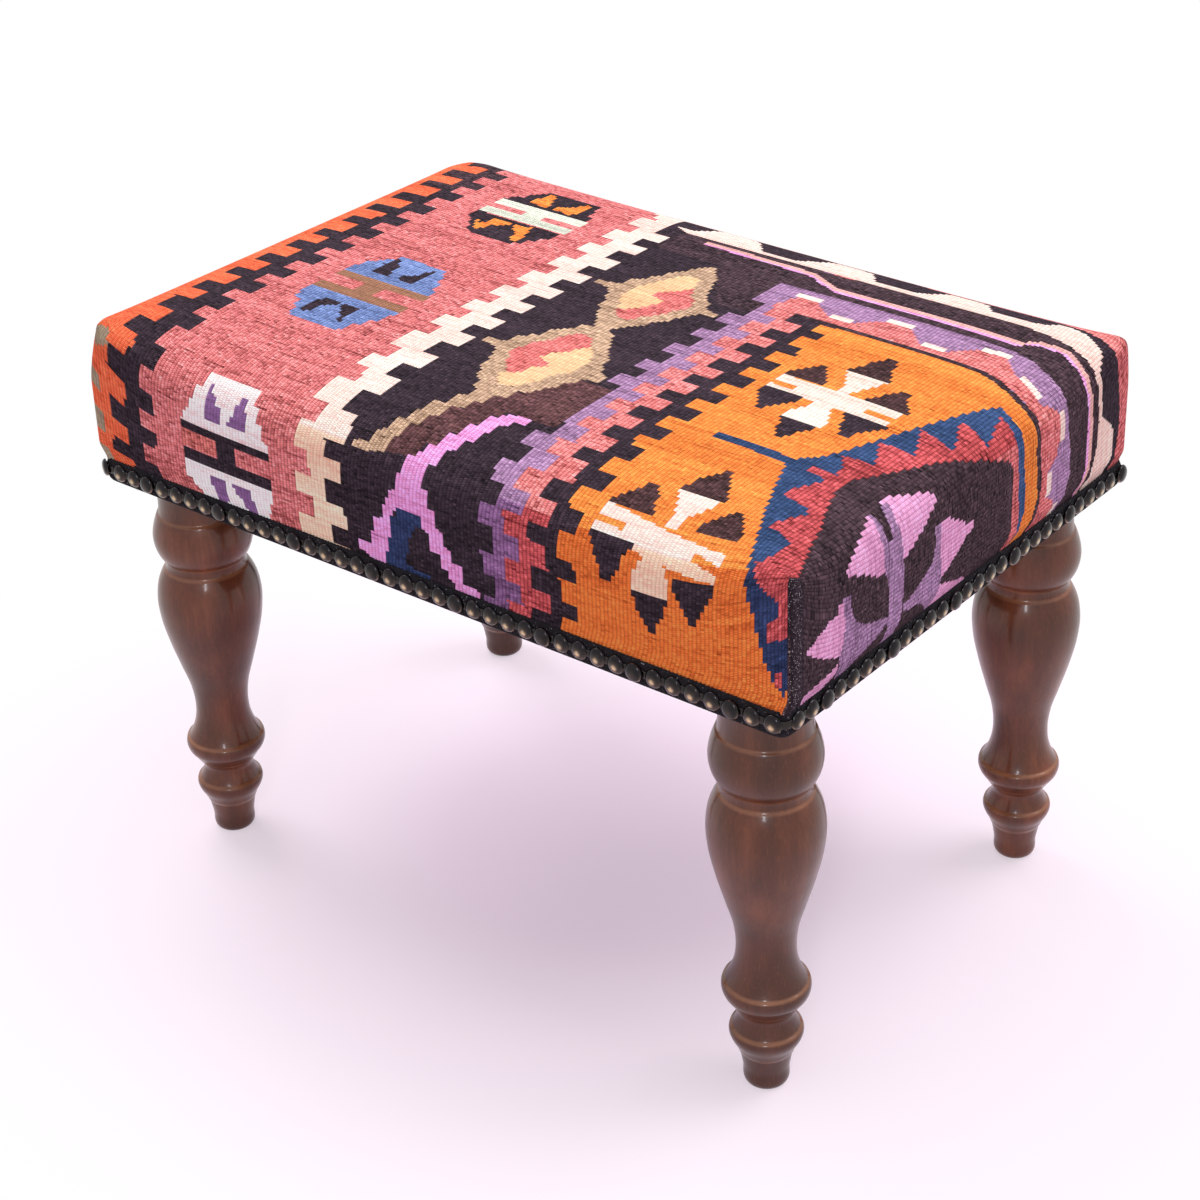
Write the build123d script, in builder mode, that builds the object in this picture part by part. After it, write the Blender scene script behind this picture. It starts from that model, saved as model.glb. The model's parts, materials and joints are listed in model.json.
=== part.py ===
"""Kilim footstool: turned legs bolted to a doweled softwood frame, with a padded
top under a flat-woven kilim, finished with braid and a nail strip.

Origin: floor, under the middle of the stool. +X along the long side, +Z up.
All lengths are in millimetres.
"""
from build123d import *
import math
import os

os.makedirs("parts", exist_ok=True)

# Frame of four rails and a plywood deck
frame_length = 443
frame_width = 306
leg_height = 233
rail_height = 45
rail_thickness = 18
deck_thickness = 9
frame_corner_radius = 10

# Turned legs, each on one hanger bolt
bulge_radius = 28.9
leg_inset = 31.6
foot_chamfer = 0.8
bolt_radius = 4
bolt_depth = 34
bolt_hole_depth = 36
bolt_end_chamfer = 1.5

# Outline of a leg: heights as shares of the leg, radii as shares of the bulge
foot_taper_shares = [(0.003, 0.360), (0.043, 0.405), (0.086, 0.471)]
lower_ring_shares = [(0.087, 0.488), (0.103, 0.540), (0.120, 0.616), (0.136, 0.647), (0.146, 0.626)]
lower_cove_shares = [(0.147, 0.595), (0.163, 0.526), (0.185, 0.483), (0.203, 0.550)]
upper_ring_shares = [(0.204, 0.567), (0.221, 0.657), (0.238, 0.747), (0.255, 0.772), (0.266, 0.747)]
baluster_shares = [
    (0.267, 0.716), (0.288, 0.623), (0.322, 0.540), (0.358, 0.517), (0.408, 0.557), (0.476, 0.709),
    (0.545, 0.865), (0.614, 0.979), (0.664, 1.000), (0.715, 0.920), (0.742, 0.806),
]
groove_shares = [(0.744, 0.782), (0.756, 0.770), (0.767, 0.782)]
bead_shares = [(0.768, 0.795), (0.798, 0.917), (0.828, 0.952), (0.858, 0.913), (0.887, 0.827)]
neck_shares = [(0.888, 0.803), (0.920, 0.782), (0.953, 0.803)]
collar_shares = [(0.955, 0.830), (1.000, 0.830)]
turning_shares = [
    foot_taper_shares, lower_ring_shares, lower_cove_shares, upper_ring_shares,
    baluster_shares, groove_shares, bead_shares, neck_shares, collar_shares,
]

# Corner blocks, their screws and the pronged tee nuts
block_height = 30
block_reach = 60
block_end = 15
screw_reach = 46
screw_seat = 10
screw_radius = 2
screw_head_radius = 4
screw_head_height = 2.4
screw_grip = 12
nut_flange_radius = 9.5
nut_flange_thickness = 1.5
nut_barrel_radius = 5
nut_barrel_length = 9
prong_circle_radius = 7.6
prong_width = 2.4
prong_thickness = 1.2
prong_length = 6
prong_count = 4
bolt_stand = 2

# Dowels at the rail corners and screws through the deck
dowel_radius = 4
dowel_length = 36
dowel_depth = 12
dowel_edge = 13
deck_screw_length = 32
deck_screw_space_x = 120
deck_screws_long = 4
deck_screws_short = 2
deck_screw_space_y = 90

# Upholstery: foam, wadding, kilim
foam_edge_radius = 8
foam_corner_radius = 12
wadding_thickness = 4
wadding_low_edge = 17
kilim_thickness = 2
top_height = 319
crown_rise = 3
top_edge_radius = 11.5
hem_width = 18
side_swell = 1.2
side_draw = 0.5
belly_share = 0.55

# Braid, nail strip and decorative nails
braid_height = 12.2
braid_drop = 2.2
braid_thickness = 1.6
stud_pitch = 11
stud_radius = 4.95
stud_height = 2.6
stud_lift = 6
nail_every = 5
first_nail = 33.1
strip_height = 4
strip_thickness = 0.5
nail_shank = 1.2
nail_length = 13
stud_sides = 8
stud_tier_shares = [(0, 1), (0.52, 0.86), (1, 0.36)]

# Dust cover and staples
dust_thickness = 0.5
dust_inset = 4
dust_leg_gap = 1
staple_width = 10
staple_wire = 1
staple_thickness = 0.5
staple_leg = 8
hem_staple_inset = 13
hem_staple_space = 52
hem_staples_long = 6
hem_staples_short = 4
dust_staple_inset = 14
dust_staple_space = 78
dust_staples_long = 3
dust_staples_short = 2

# Clearances
lining_gap = 0.15
trim_gap = 0.1
hole_gap = 0.1
end_gap = 0.5
leg_hole_gap = 0.6
overrun = 1

# Places worked out from the sizes above
half_length = frame_length / 2
half_width = frame_width / 2
inner_x = half_length - rail_thickness
inner_y = half_width - rail_thickness
leg_x = half_length - leg_inset
leg_y = half_width - leg_inset
collar_radius = bulge_radius * collar_shares[-1][1]
deck_low = leg_height + rail_height
deck_high = deck_low + deck_thickness
hem_low = leg_height - kilim_thickness
crown_radius = (half_length ** 2 + crown_rise ** 2) / (2 * crown_rise)
foam_inset = kilim_thickness + 2 * lining_gap + wadding_thickness
cover_reach = lining_gap + kilim_thickness
corner_radius = frame_corner_radius + cover_reach
braid_low = leg_height - braid_drop
braid_high = braid_low + braid_height
braid_back = cover_reach + trim_gap
strip_back = braid_back + braid_thickness + trim_gap
stud_level = braid_low + stud_lift
corner_signs = {"front_left": (-1, -1), "front_right": (1, -1), "rear_left": (-1, 1), "rear_right": (1, 1)}


def finish(piece, label):
    """Name a finished piece and write it to its own file."""
    piece.part.label = label
    export_step(piece.part, f"parts/{label}.step")


def outline(shares):
    """Radius and height of a run of leg outline points."""
    return [(radius * bulge_radius, height * leg_height) for height, radius in shares]


# Turned leg: one outline, run after run from foot to collar, revolved about its axis
def leg_profile():
    with BuildSketch(Plane.XZ) as profile:
        with BuildLine():
            runs = [outline(shares) for shares in turning_shares]
            foot = runs[0][0]
            flat = (foot[0] - foot_chamfer, 0)
            Polyline((0, leg_height), (0, 0), flat, foot)
            for run in runs:
                if len(run) > 2:
                    Spline(*run)
                else:
                    Line(*run)
            for below, above in zip(runs, runs[1:]):
                Line(below[-1], above[0])
            Line(runs[-1][-1], (0, leg_height))
        make_face()
    return profile.sketch


leg_outline = leg_profile()
for corner, (side_x, side_y) in corner_signs.items():
    with BuildPart() as leg:
        add(leg_outline)
        revolve(axis=Axis.Z)
        with Locations((0, 0, leg_height)):
            Hole(bolt_radius + hole_gap, depth=bolt_hole_depth)
    leg.part.position = (side_x * leg_x, side_y * leg_y, 0)
    finish(leg, f"leg_{corner}")

# Hanger bolts, from the leg up through corner block and tee nut
leg_places = [(side_x * leg_x, side_y * leg_y) for side_x, side_y in corner_signs.values()]
bolt_top = leg_height + block_height + nut_flange_thickness + bolt_stand
bolt_low = leg_height - bolt_depth
with BuildPart() as hanger_bolts:
    with BuildSketch(Plane.XY.offset(bolt_low)):
        with Locations(*leg_places):
            Circle(bolt_radius)
    extrude(amount=bolt_top - bolt_low)
    chamfer(hanger_bolts.edges().group_by(Axis.Z)[0], bolt_end_chamfer)
finish(hanger_bolts, "hanger_bolts")

# Tee nuts, pressed into the corner blocks from above with their four prongs
nut_seat = leg_height + block_height


def prong_places():
    return [
        Location((x, y, 0)) * place
        for x, y in leg_places
        for place in PolarLocations(prong_circle_radius, prong_count, prong_count ** -1 * 180).locations
    ]


with BuildPart() as tee_nuts:
    with BuildSketch(Plane.XY.offset(nut_seat)):
        with Locations(*leg_places):
            Circle(nut_flange_radius)
    extrude(amount=nut_flange_thickness)
    with BuildSketch(Plane.XY.offset(nut_seat - nut_barrel_length)):
        with Locations(*leg_places):
            Circle(nut_barrel_radius)
    extrude(amount=nut_barrel_length)
    with BuildSketch(Plane.XY.offset(nut_seat - prong_length)):
        with Locations(*prong_places()):
            Rectangle(prong_thickness, prong_width)
    extrude(amount=prong_length)
    with BuildSketch(Plane.XY.offset(nut_seat + nut_flange_thickness)):
        with Locations(*leg_places):
            Circle(bolt_radius + hole_gap)
    extrude(amount=-nut_flange_thickness - nut_barrel_length, mode=Mode.SUBTRACT)
finish(tee_nuts, "tee_nuts")

# Border that the nail strip follows, run by run from the front left corner
border_x = half_length + strip_back
border_y = half_width + strip_back
border_corner = corner_radius + trim_gap + braid_thickness + trim_gap
with BuildLine() as border:
    front_run = Line((border_corner - border_x, -border_y), (border_x - border_corner, -border_y))
    right_turn = JernArc(front_run @ 1, front_run % 1, border_corner, 90)
    right_run = Line(right_turn @ 1, (border_x, border_y - border_corner))
    rear_turn = JernArc(right_run @ 1, right_run % 1, border_corner, 90)
    rear_run = Line(rear_turn @ 1, (border_corner - border_x, border_y))
    left_turn = JernArc(rear_run @ 1, rear_run % 1, border_corner, 90)
    left_run = Line(left_turn @ 1, (-border_x, border_corner - border_y))
    front_turn = JernArc(left_run @ 1, left_run % 1, border_corner, 90)
border_runs = [front_run, right_turn, right_run, rear_turn, rear_run, left_turn, left_run, front_turn]
border_length = sum(run.length for run in border_runs)
stud_count = round(border_length / stud_pitch)
stud_step = border_length / stud_count


def border_place(distance, lift):
    """Place on the border at a distance from its start: local Z points outwards."""
    distance = distance % border_length
    for run in border_runs:
        if distance <= run.length:
            break
        distance = distance - run.length
    point = run.position_at(distance / run.length)
    along = run.tangent_at(distance / run.length)
    outward = along.cross(Vector(0, 0, 1))
    plane = Plane(origin=point + outward * lift + Vector(0, 0, stud_level), x_dir=along, z_dir=outward)
    return Location(plane)


strip_start = first_nail - half_length + border_x - border_corner - nail_every * stud_step
stud_distances = [strip_start + index * stud_step for index in range(stud_count)]
nail_distances = stud_distances[::nail_every]
dome_distances = [distance for distance in stud_distances if distance not in nail_distances]


def nail_holes():
    """Cut square holes for the shanks of the decorative nails."""
    side = nail_shank + 2 * hole_gap
    depth = nail_length + end_gap + overrun
    with Locations(*[border_place(distance, strip_thickness + overrun) for distance in nail_distances]):
        Box(side, side, depth, align=(Align.CENTER, Align.CENTER, Align.MAX), mode=Mode.SUBTRACT)


# Staple places round the hem and round the dust cover
def staple_places(inset, space, long_count, short_count, offset_x):
    places = []
    for side in (-1, 1):
        for index in range(long_count):
            x = (index - (long_count - 1) / 2) * space + offset_x
            places.append(Location((x, side * (half_width - inset), 0)))
        for index in range(short_count):
            y = (index - (short_count - 1) / 2) * space
            places.append(Location((side * (half_length - inset), y, 0), (0, 0, 90)))
    return places


hem_places = staple_places(hem_staple_inset, hem_staple_space, hem_staples_long, hem_staples_short, 0)
dust_places = staple_places(dust_staple_inset, dust_staple_space, dust_staples_long, dust_staples_short,
                            hem_staple_space / 2 - dust_staple_space)


def staples(places, crown_low):
    """Staples with their crown's underside at one height."""
    with BuildPart() as group:
        with Locations(*places):
            with Locations((0, 0, crown_low)):
                Box(staple_width, staple_wire, staple_thickness,
                    align=(Align.CENTER, Align.CENTER, Align.MIN))
            leg_shift = (staple_width - staple_thickness) / 2
            with Locations((-leg_shift, 0, crown_low), (leg_shift, 0, crown_low)):
                Box(staple_thickness, staple_wire, staple_leg,
                    align=(Align.CENTER, Align.CENTER, Align.MIN))
    return group


def staple_slots(places, crown_low):
    """Cut the slots that one group of staple legs stands in."""
    with Locations(*places):
        leg_shift = (staple_width - staple_thickness) / 2
        with Locations((-leg_shift, 0, crown_low), (leg_shift, 0, crown_low)):
            Box(staple_thickness + 2 * hole_gap, staple_wire + 2 * hole_gap, staple_leg + end_gap,
                align=(Align.CENTER, Align.CENTER, Align.MIN), mode=Mode.SUBTRACT)


hem_crown_low = hem_low - staple_thickness
dust_low = hem_crown_low - dust_thickness
dust_crown_low = dust_low - staple_thickness

# Dowels: two at each corner, across the joint between long and short rail
dowel_x = half_length - rail_thickness / 2
dowel_levels = [leg_height + dowel_edge, leg_height + rail_height - dowel_edge]


def dowels(radius, extra):
    """Dowels, or with some extra their holes, standing across the four corner joints."""
    for side_x, side_y in corner_signs.values():
        start = inner_y + dowel_depth + extra
        finish_y = inner_y + dowel_depth - dowel_length - extra
        for level in dowel_levels:
            with BuildSketch(Plane((side_x * dowel_x, side_y * start, level), z_dir=(0, -side_y, 0))) as end:
                Circle(radius)
            extrude(end.sketch, amount=start - finish_y, mode=Mode.ADD if extra == 0 else Mode.SUBTRACT)


with BuildPart() as frame_dowels:
    dowels(dowel_radius, 0)
finish(frame_dowels, "frame_dowels")

# Corner block screws: through the block's end into each rail
screw_level = leg_height + block_height / 2


def block_screw_planes(side_x, side_y):
    """Planes on the two rail faces, facing into the frame, at the screws of one block."""
    into_long = Plane((side_x * (inner_x - screw_reach), side_y * inner_y, screw_level), z_dir=(0, -side_y, 0))
    into_short = Plane((side_x * inner_x, side_y * (inner_y - screw_reach), screw_level), z_dir=(-side_x, 0, 0))
    return [into_long, into_short]


def screw_at(plane, seat, grip, gap=0, head_extra=0, mode=Mode.ADD):
    """Screw with its head seated above a plane, or with a gap the hole for it."""
    with BuildSketch(plane.offset(-grip)) as shank:
        Circle(screw_radius + gap)
    extrude(shank.sketch, amount=grip + seat, mode=mode)
    with BuildSketch(plane.offset(seat)) as head:
        Circle(screw_head_radius + 2 * gap)
    extrude(head.sketch, amount=screw_head_height + head_extra, mode=mode)


with BuildPart() as corner_block_screws:
    for side_x, side_y in corner_signs.values():
        for plane in block_screw_planes(side_x, side_y):
            screw_at(plane, screw_seat, screw_grip)
finish(corner_block_screws, "corner_block_screws")

# Deck screws: countersunk, through the deck into the rails
deck_screw_places = [
    ((index - (deck_screws_long - 1) / 2) * deck_screw_space_x, side * (half_width - rail_thickness / 2))
    for side in (-1, 1)
    for index in range(deck_screws_long)
] + [
    (side * (half_length - rail_thickness / 2), (index - (deck_screws_short - 1) / 2) * deck_screw_space_y)
    for side in (-1, 1)
    for index in range(deck_screws_short)
]


def deck_screw_shapes(gap, mode):
    """Countersunk screws, or with a gap their holes."""
    with BuildSketch(Plane.XY.offset(deck_high - deck_screw_length - 2 * gap)) as shanks:
        with Locations(*deck_screw_places):
            Circle(screw_radius + gap)
    extrude(shanks.sketch, amount=deck_screw_length + 2 * gap, mode=mode)
    with Locations(*[(x, y, deck_high) for x, y in deck_screw_places]):
        Cone(screw_radius + gap, screw_head_radius + gap, screw_head_height,
             align=(Align.CENTER, Align.CENTER, Align.MAX), mode=mode)


with BuildPart() as deck_screws:
    deck_screw_shapes(0, Mode.ADD)
finish(deck_screws, "deck_screws")

with BuildPart() as deck_panel:
    with BuildSketch(Plane.XY.offset(deck_low)):
        RectangleRounded(frame_length, frame_width, frame_corner_radius)
    extrude(amount=deck_thickness)
    deck_screw_shapes(hole_gap, Mode.SUBTRACT)
finish(deck_panel, "deck_panel")


# Rails: the long ones run the full length, the short ones stand between them
def rail(label, centre, length, width):
    with BuildPart() as piece:
        with BuildSketch(Plane.XY.offset(leg_height)):
            with Locations(centre):
                Rectangle(length, width)
            RectangleRounded(frame_length, frame_width, frame_corner_radius, mode=Mode.INTERSECT)
        extrude(amount=rail_height)
        dowels(dowel_radius + hole_gap, end_gap)
        deck_screw_shapes(hole_gap, Mode.SUBTRACT)
        for side_x, side_y in corner_signs.values():
            for plane in block_screw_planes(side_x, side_y):
                screw_at(plane, screw_seat, screw_grip + end_gap, hole_gap, 0, Mode.SUBTRACT)
        nail_holes()
        staple_slots(hem_places, hem_crown_low)
        staple_slots(dust_places, dust_crown_low)
    finish(piece, label)


rail("rail_front", (0, (rail_thickness - frame_width) / 2), frame_length, rail_thickness)
rail("rail_rear", (0, (frame_width - rail_thickness) / 2), frame_length, rail_thickness)
rail("rail_left", ((rail_thickness - frame_length) / 2, 0), rail_thickness, 2 * inner_y)
rail("rail_right", ((frame_length - rail_thickness) / 2, 0), rail_thickness, 2 * inner_y)

# Corner blocks: cut across inside, bored for the bolt and the tee nut
for corner, (side_x, side_y) in corner_signs.items():
    with BuildPart() as block:
        with BuildSketch(Plane.XY.offset(leg_height)):
            with BuildLine():
                Polyline(
                    (side_x * inner_x, side_y * inner_y),
                    (side_x * (inner_x - block_reach), side_y * inner_y),
                    (side_x * (inner_x - block_reach), side_y * (inner_y - block_end)),
                    (side_x * (inner_x - block_end), side_y * (inner_y - block_reach)),
                    (side_x * inner_x, side_y * (inner_y - block_reach)),
                    close=True,
                )
            make_face()
        extrude(amount=block_height)
        with BuildSketch(Plane.XY.offset(leg_height)):
            with Locations(*leg_places):
                Circle(bolt_radius + leg_hole_gap)
        extrude(amount=block_height, mode=Mode.SUBTRACT)
        with BuildSketch(Plane.XY.offset(nut_seat)):
            with Locations(*leg_places):
                Circle(nut_barrel_radius + hole_gap)
        extrude(amount=-nut_barrel_length - end_gap, mode=Mode.SUBTRACT)
        with BuildSketch(Plane.XY.offset(nut_seat)):
            with Locations(*prong_places()):
                Rectangle(prong_thickness + 2 * hole_gap, prong_width + 2 * hole_gap)
        extrude(amount=-prong_length - end_gap, mode=Mode.SUBTRACT)
        for plane in block_screw_planes(side_x, side_y):
            screw_at(plane, screw_seat, 0, hole_gap, block_reach, Mode.SUBTRACT)
    finish(block, f"corner_block_{corner}")


# Crowned cap that trims a padded form to its domed top
def crown_cap(inset):
    radius = crown_radius - inset
    centre = top_height - crown_radius
    reach = half_length + half_width
    with BuildPart() as cap:
        with BuildSketch(Plane.XZ):
            with BuildLine():
                rim_height = centre + math.sqrt(radius ** 2 - reach ** 2)
                RadiusArc((0, centre + radius), (reach, rim_height), radius)
                Polyline((reach, rim_height), (reach, 0), (0, 0), (0, centre + radius))
            make_face()
        revolve(axis=Axis.Z)
    return cap.part


# Padded block: two crossed outlines with bulging sides, then a crowned top and rounded edges
def padded_form(inset):
    with BuildPart() as form:
        for half, other_half in ((half_length, half_width), (half_width, half_length)):
            first = half == half_length
            foot = half + cover_reach - inset
            belly = foot + side_swell
            head = foot - side_draw
            belly_level = hem_low + belly_share * (top_height - hem_low)
            head_level = top_height + overrun
            with BuildSketch(Plane.XZ if first else Plane.YZ):
                with BuildLine():
                    Line((-foot, hem_low), (foot, hem_low))
                    ThreePointArc((foot, hem_low), (belly, belly_level), (head, head_level))
                    Line((head, head_level), (-head, head_level))
                    ThreePointArc((-head, head_level), (-belly, belly_level), (-foot, hem_low))
                make_face()
            extrude(amount=other_half + side_swell + cover_reach + overrun, both=True,
                    mode=Mode.ADD if first else Mode.INTERSECT)
        fillet(form.edges().filter_by(lambda edge: abs(edge.tangent_at(0.5).Z) > 0.9), corner_radius - inset)
        add(crown_cap(inset), mode=Mode.INTERSECT)
        fillet(form.faces().sort_by(Axis.Z)[-1].edges(), top_edge_radius - inset)
        with BuildSketch(Plane.XY.offset(hem_low)):
            reach = cover_reach - inset
            Rectangle(frame_length + 4 * cover_reach + 2 * side_swell, frame_width + 4 * cover_reach + 2 * side_swell)
            RectangleRounded(frame_length + 2 * reach, frame_width + 2 * reach, corner_radius - inset,
                             mode=Mode.SUBTRACT)
        extrude(amount=braid_high - hem_low, mode=Mode.SUBTRACT)
    return form.part


def foam_form(clearance, base):
    """Foam block with a crowned top, or with a clearance the room that it lies in."""
    with BuildPart() as form:
        with BuildSketch(Plane.XY.offset(base)):
            RectangleRounded(frame_length + 2 * clearance, frame_width + 2 * clearance,
                             foam_corner_radius + clearance)
        extrude(amount=top_height - base)
        add(crown_cap(foam_inset - clearance), mode=Mode.INTERSECT)
        fillet(form.faces().sort_by(Axis.Z)[-1].edges(), foam_edge_radius)
    return form.part


foam_solid = foam_form(0, deck_high)
with BuildPart() as foam_pad:
    add(foam_solid)
finish(foam_pad, "foam_pad")

# Wadding: over the foam and down the sides, ending above the nails
wadding_outside = padded_form(kilim_thickness + lining_gap)
foam_room = foam_form(lining_gap, deck_high)
with BuildPart() as wadding:
    add(wadding_outside)
    add(foam_room, mode=Mode.SUBTRACT)
    with BuildSketch(Plane.XY.offset(deck_high)):
        RectangleRounded(frame_length + 2 * lining_gap, frame_width + 2 * lining_gap,
                         frame_corner_radius + lining_gap)
    extrude(amount=hem_low - deck_high, mode=Mode.SUBTRACT)
    split(bisect_by=Plane.XY.offset(leg_height + wadding_low_edge), keep=Keep.TOP)
finish(wadding, "wadding")

# Kilim cover: top, sides and the hem that is turned under the frame
cover_outside = padded_form(0)
cover_inside = padded_form(kilim_thickness)
with BuildPart() as cover_room:
    add(cover_inside)
    split(bisect_by=Plane.XY.offset(leg_height), keep=Keep.TOP)
with BuildPart() as kilim_cover:
    add(cover_outside)
    add(cover_room.part, mode=Mode.SUBTRACT)
    with BuildSketch(Plane.XY.offset(hem_low - overrun)):
        Rectangle(frame_length - 2 * hem_width, frame_width - 2 * hem_width)
        with Locations(*leg_places):
            Circle(collar_radius + dust_leg_gap)
    extrude(amount=kilim_thickness + 2 * overrun, mode=Mode.SUBTRACT)
    nail_holes()
    staple_slots(hem_places, hem_crown_low)
    staple_slots(dust_places, dust_crown_low)
finish(kilim_cover, "kilim_cover")

# Braid: a flat woven band round the foot of the cover
with BuildPart() as braid_trim:
    with BuildSketch(Plane.XY.offset(braid_low)):
        inner = 2 * braid_back
        outer = inner + 2 * braid_thickness
        corner = corner_radius + trim_gap
        RectangleRounded(frame_length + outer, frame_width + outer, corner + braid_thickness)
        RectangleRounded(frame_length + inner, frame_width + inner, corner, mode=Mode.SUBTRACT)
    extrude(amount=braid_height)
    nail_holes()
finish(braid_trim, "braid_trim")


# Stamped dome, with few faces because there are so many
def stud_dome():
    with BuildPart() as dome:
        for height_share, radius_share in stud_tier_shares:
            with BuildSketch(Plane.XY.offset(height_share * stud_height)):
                RegularPolygon(radius_share * stud_radius, stud_sides)
        loft(ruled=True)
    return dome.part


dome_solid = stud_dome()
with BuildPart() as nail_strip:
    with BuildSketch(Plane.XY.offset(stud_level - strip_height / 2)):
        inner = 2 * strip_back
        outer = inner + 2 * strip_thickness
        RectangleRounded(frame_length + outer, frame_width + outer, border_corner + strip_thickness)
        RectangleRounded(frame_length + inner, frame_width + inner, border_corner, mode=Mode.SUBTRACT)
    extrude(amount=strip_height)
    with Locations(*[border_place(distance, 0) for distance in dome_distances]):
        add(dome_solid)
    nail_holes()
finish(nail_strip, "nail_strip")

with BuildPart() as decorative_nails:
    with Locations(*[border_place(distance, strip_thickness + trim_gap) for distance in nail_distances]):
        add(dome_solid)
        Box(nail_shank, nail_shank, nail_length, align=(Align.CENTER, Align.CENTER, Align.MAX))
finish(decorative_nails, "decorative_nails")

# Dust cover under the frame, cut out round the legs
with BuildPart() as dust_cover:
    with BuildSketch(Plane.XY.offset(dust_low)):
        Rectangle(frame_length - 2 * dust_inset, frame_width - 2 * dust_inset)
        with Locations(*leg_places):
            Circle(collar_radius + dust_leg_gap, mode=Mode.SUBTRACT)
    extrude(amount=dust_thickness)
    staple_slots(dust_places, dust_crown_low)
finish(dust_cover, "dust_cover")

finish(staples(hem_places, hem_crown_low), "hem_staples")
finish(staples(dust_places, dust_crown_low), "dust_cover_staples")

print(f"{stud_count} studs at {stud_step:.3f} mm, {len(nail_distances)} of them nails")
print(f"nail strip {2 * (border_x + stud_height):.1f} x {2 * (border_y + stud_height):.1f} mm")
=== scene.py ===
# %% [markdown]
# # A kilim footstool
# The stool is a softwood box on four turned legs, padded with foam and covered with a piece of
# old kilim. A black braid and a strip of bronze studs hide the cut edge of the kilim.
# The hidden frame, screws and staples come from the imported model. This file adds what the eye
# sees: the padded cover with its woven pattern, the turned legs, the braid, the studs and the
# dust cloth underneath. All sizes below are millimetres, and a mesh is made in metres.

# %% Load the frame and measure it
import json

import bpy
import numpy as np
from mathutils import Matrix, Vector

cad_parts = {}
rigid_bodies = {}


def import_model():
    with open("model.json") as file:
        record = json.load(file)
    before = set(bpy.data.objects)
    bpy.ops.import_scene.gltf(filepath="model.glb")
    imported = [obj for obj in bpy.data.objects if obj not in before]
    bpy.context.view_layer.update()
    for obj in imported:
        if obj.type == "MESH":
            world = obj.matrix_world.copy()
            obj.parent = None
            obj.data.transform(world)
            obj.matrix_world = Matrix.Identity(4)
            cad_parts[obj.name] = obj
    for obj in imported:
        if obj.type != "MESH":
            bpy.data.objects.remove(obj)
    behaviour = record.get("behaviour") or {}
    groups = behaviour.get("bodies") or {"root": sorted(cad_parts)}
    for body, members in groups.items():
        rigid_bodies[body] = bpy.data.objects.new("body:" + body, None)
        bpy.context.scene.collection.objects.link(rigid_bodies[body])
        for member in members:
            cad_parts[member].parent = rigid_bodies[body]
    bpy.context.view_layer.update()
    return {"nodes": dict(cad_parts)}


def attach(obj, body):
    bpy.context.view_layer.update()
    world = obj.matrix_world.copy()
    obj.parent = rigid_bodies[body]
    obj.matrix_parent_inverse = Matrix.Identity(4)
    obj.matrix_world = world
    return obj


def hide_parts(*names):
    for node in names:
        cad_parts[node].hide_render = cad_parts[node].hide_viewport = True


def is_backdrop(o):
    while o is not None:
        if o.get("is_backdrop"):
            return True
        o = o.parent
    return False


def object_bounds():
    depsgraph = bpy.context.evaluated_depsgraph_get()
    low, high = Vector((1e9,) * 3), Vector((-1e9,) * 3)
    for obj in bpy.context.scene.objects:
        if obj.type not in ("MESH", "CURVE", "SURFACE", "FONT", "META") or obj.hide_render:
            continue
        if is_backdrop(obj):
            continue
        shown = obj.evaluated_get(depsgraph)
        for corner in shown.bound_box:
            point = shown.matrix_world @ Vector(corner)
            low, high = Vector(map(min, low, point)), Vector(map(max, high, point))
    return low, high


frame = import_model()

MM = 0.001
print("nodes of the packed model:", len(frame["nodes"]))

# %% [markdown]
# ## Small helpers
# Every new piece is a grid of points worked out with numpy, so one helper turns arrays of points
# and faces into a mesh, and a second one makes the quads of a grid. A third one stores the numbers
# that a material reads from the mesh, such as a colour for each face corner, and a fourth one
# leaves out the points that no face uses.

# %% Mesh helpers
def make_mesh(name, points, faces):
    """An object from rows of points in millimetres and rows of four point numbers."""
    mesh = bpy.data.meshes.new(name)
    faces = np.asarray(faces, np.int32)
    mesh.vertices.add(len(points))
    mesh.vertices.foreach_set("co", (np.asarray(points) * MM).astype(np.float32).ravel())
    mesh.loops.add(faces.size)
    mesh.loops.foreach_set("vertex_index", faces.ravel())
    mesh.polygons.add(len(faces))
    mesh.polygons.foreach_set("loop_start", np.arange(0, faces.size, 4, dtype=np.int32))
    mesh.polygons.foreach_set("use_smooth", np.ones(len(faces), bool))
    mesh.update(calc_edges=True)
    piece = bpy.data.objects.new(name, mesh)
    bpy.context.scene.collection.objects.link(piece)
    return piece


def grid_faces(index, wrap_rows=False, wrap_columns=False):
    """Quads of a grid of point numbers: a point, its right neighbour and the two above them."""
    if wrap_rows:
        index = np.concatenate([index, index[:1]])
    if wrap_columns:
        index = np.concatenate([index, index[:, :1]], axis=1)
    low, high = index[:-1], index[1:]
    return np.stack([low[:, :-1], low[:, 1:], high[:, 1:], high[:, :-1]], -1).reshape(-1, 4)


def store(piece, name, domain, values):
    """Store one, three or four numbers for each point or face corner under a name."""
    kinds = {1: ("FLOAT", "value"), 3: ("FLOAT_VECTOR", "vector"), 4: ("FLOAT_COLOR", "color")}
    kind, field = kinds[values.size // len(values)]
    layer = piece.data.attributes.new(name, kind, domain)
    layer.data.foreach_set(field, values.astype(np.float32).ravel())


def used_points(points, faces):
    """The points that some face uses, and the faces with the new point numbers."""
    keep, renumbered = np.unique(faces, return_inverse=True)
    return points[keep], renumbered.reshape(faces.shape)


print("mesh helpers ready")

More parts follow.
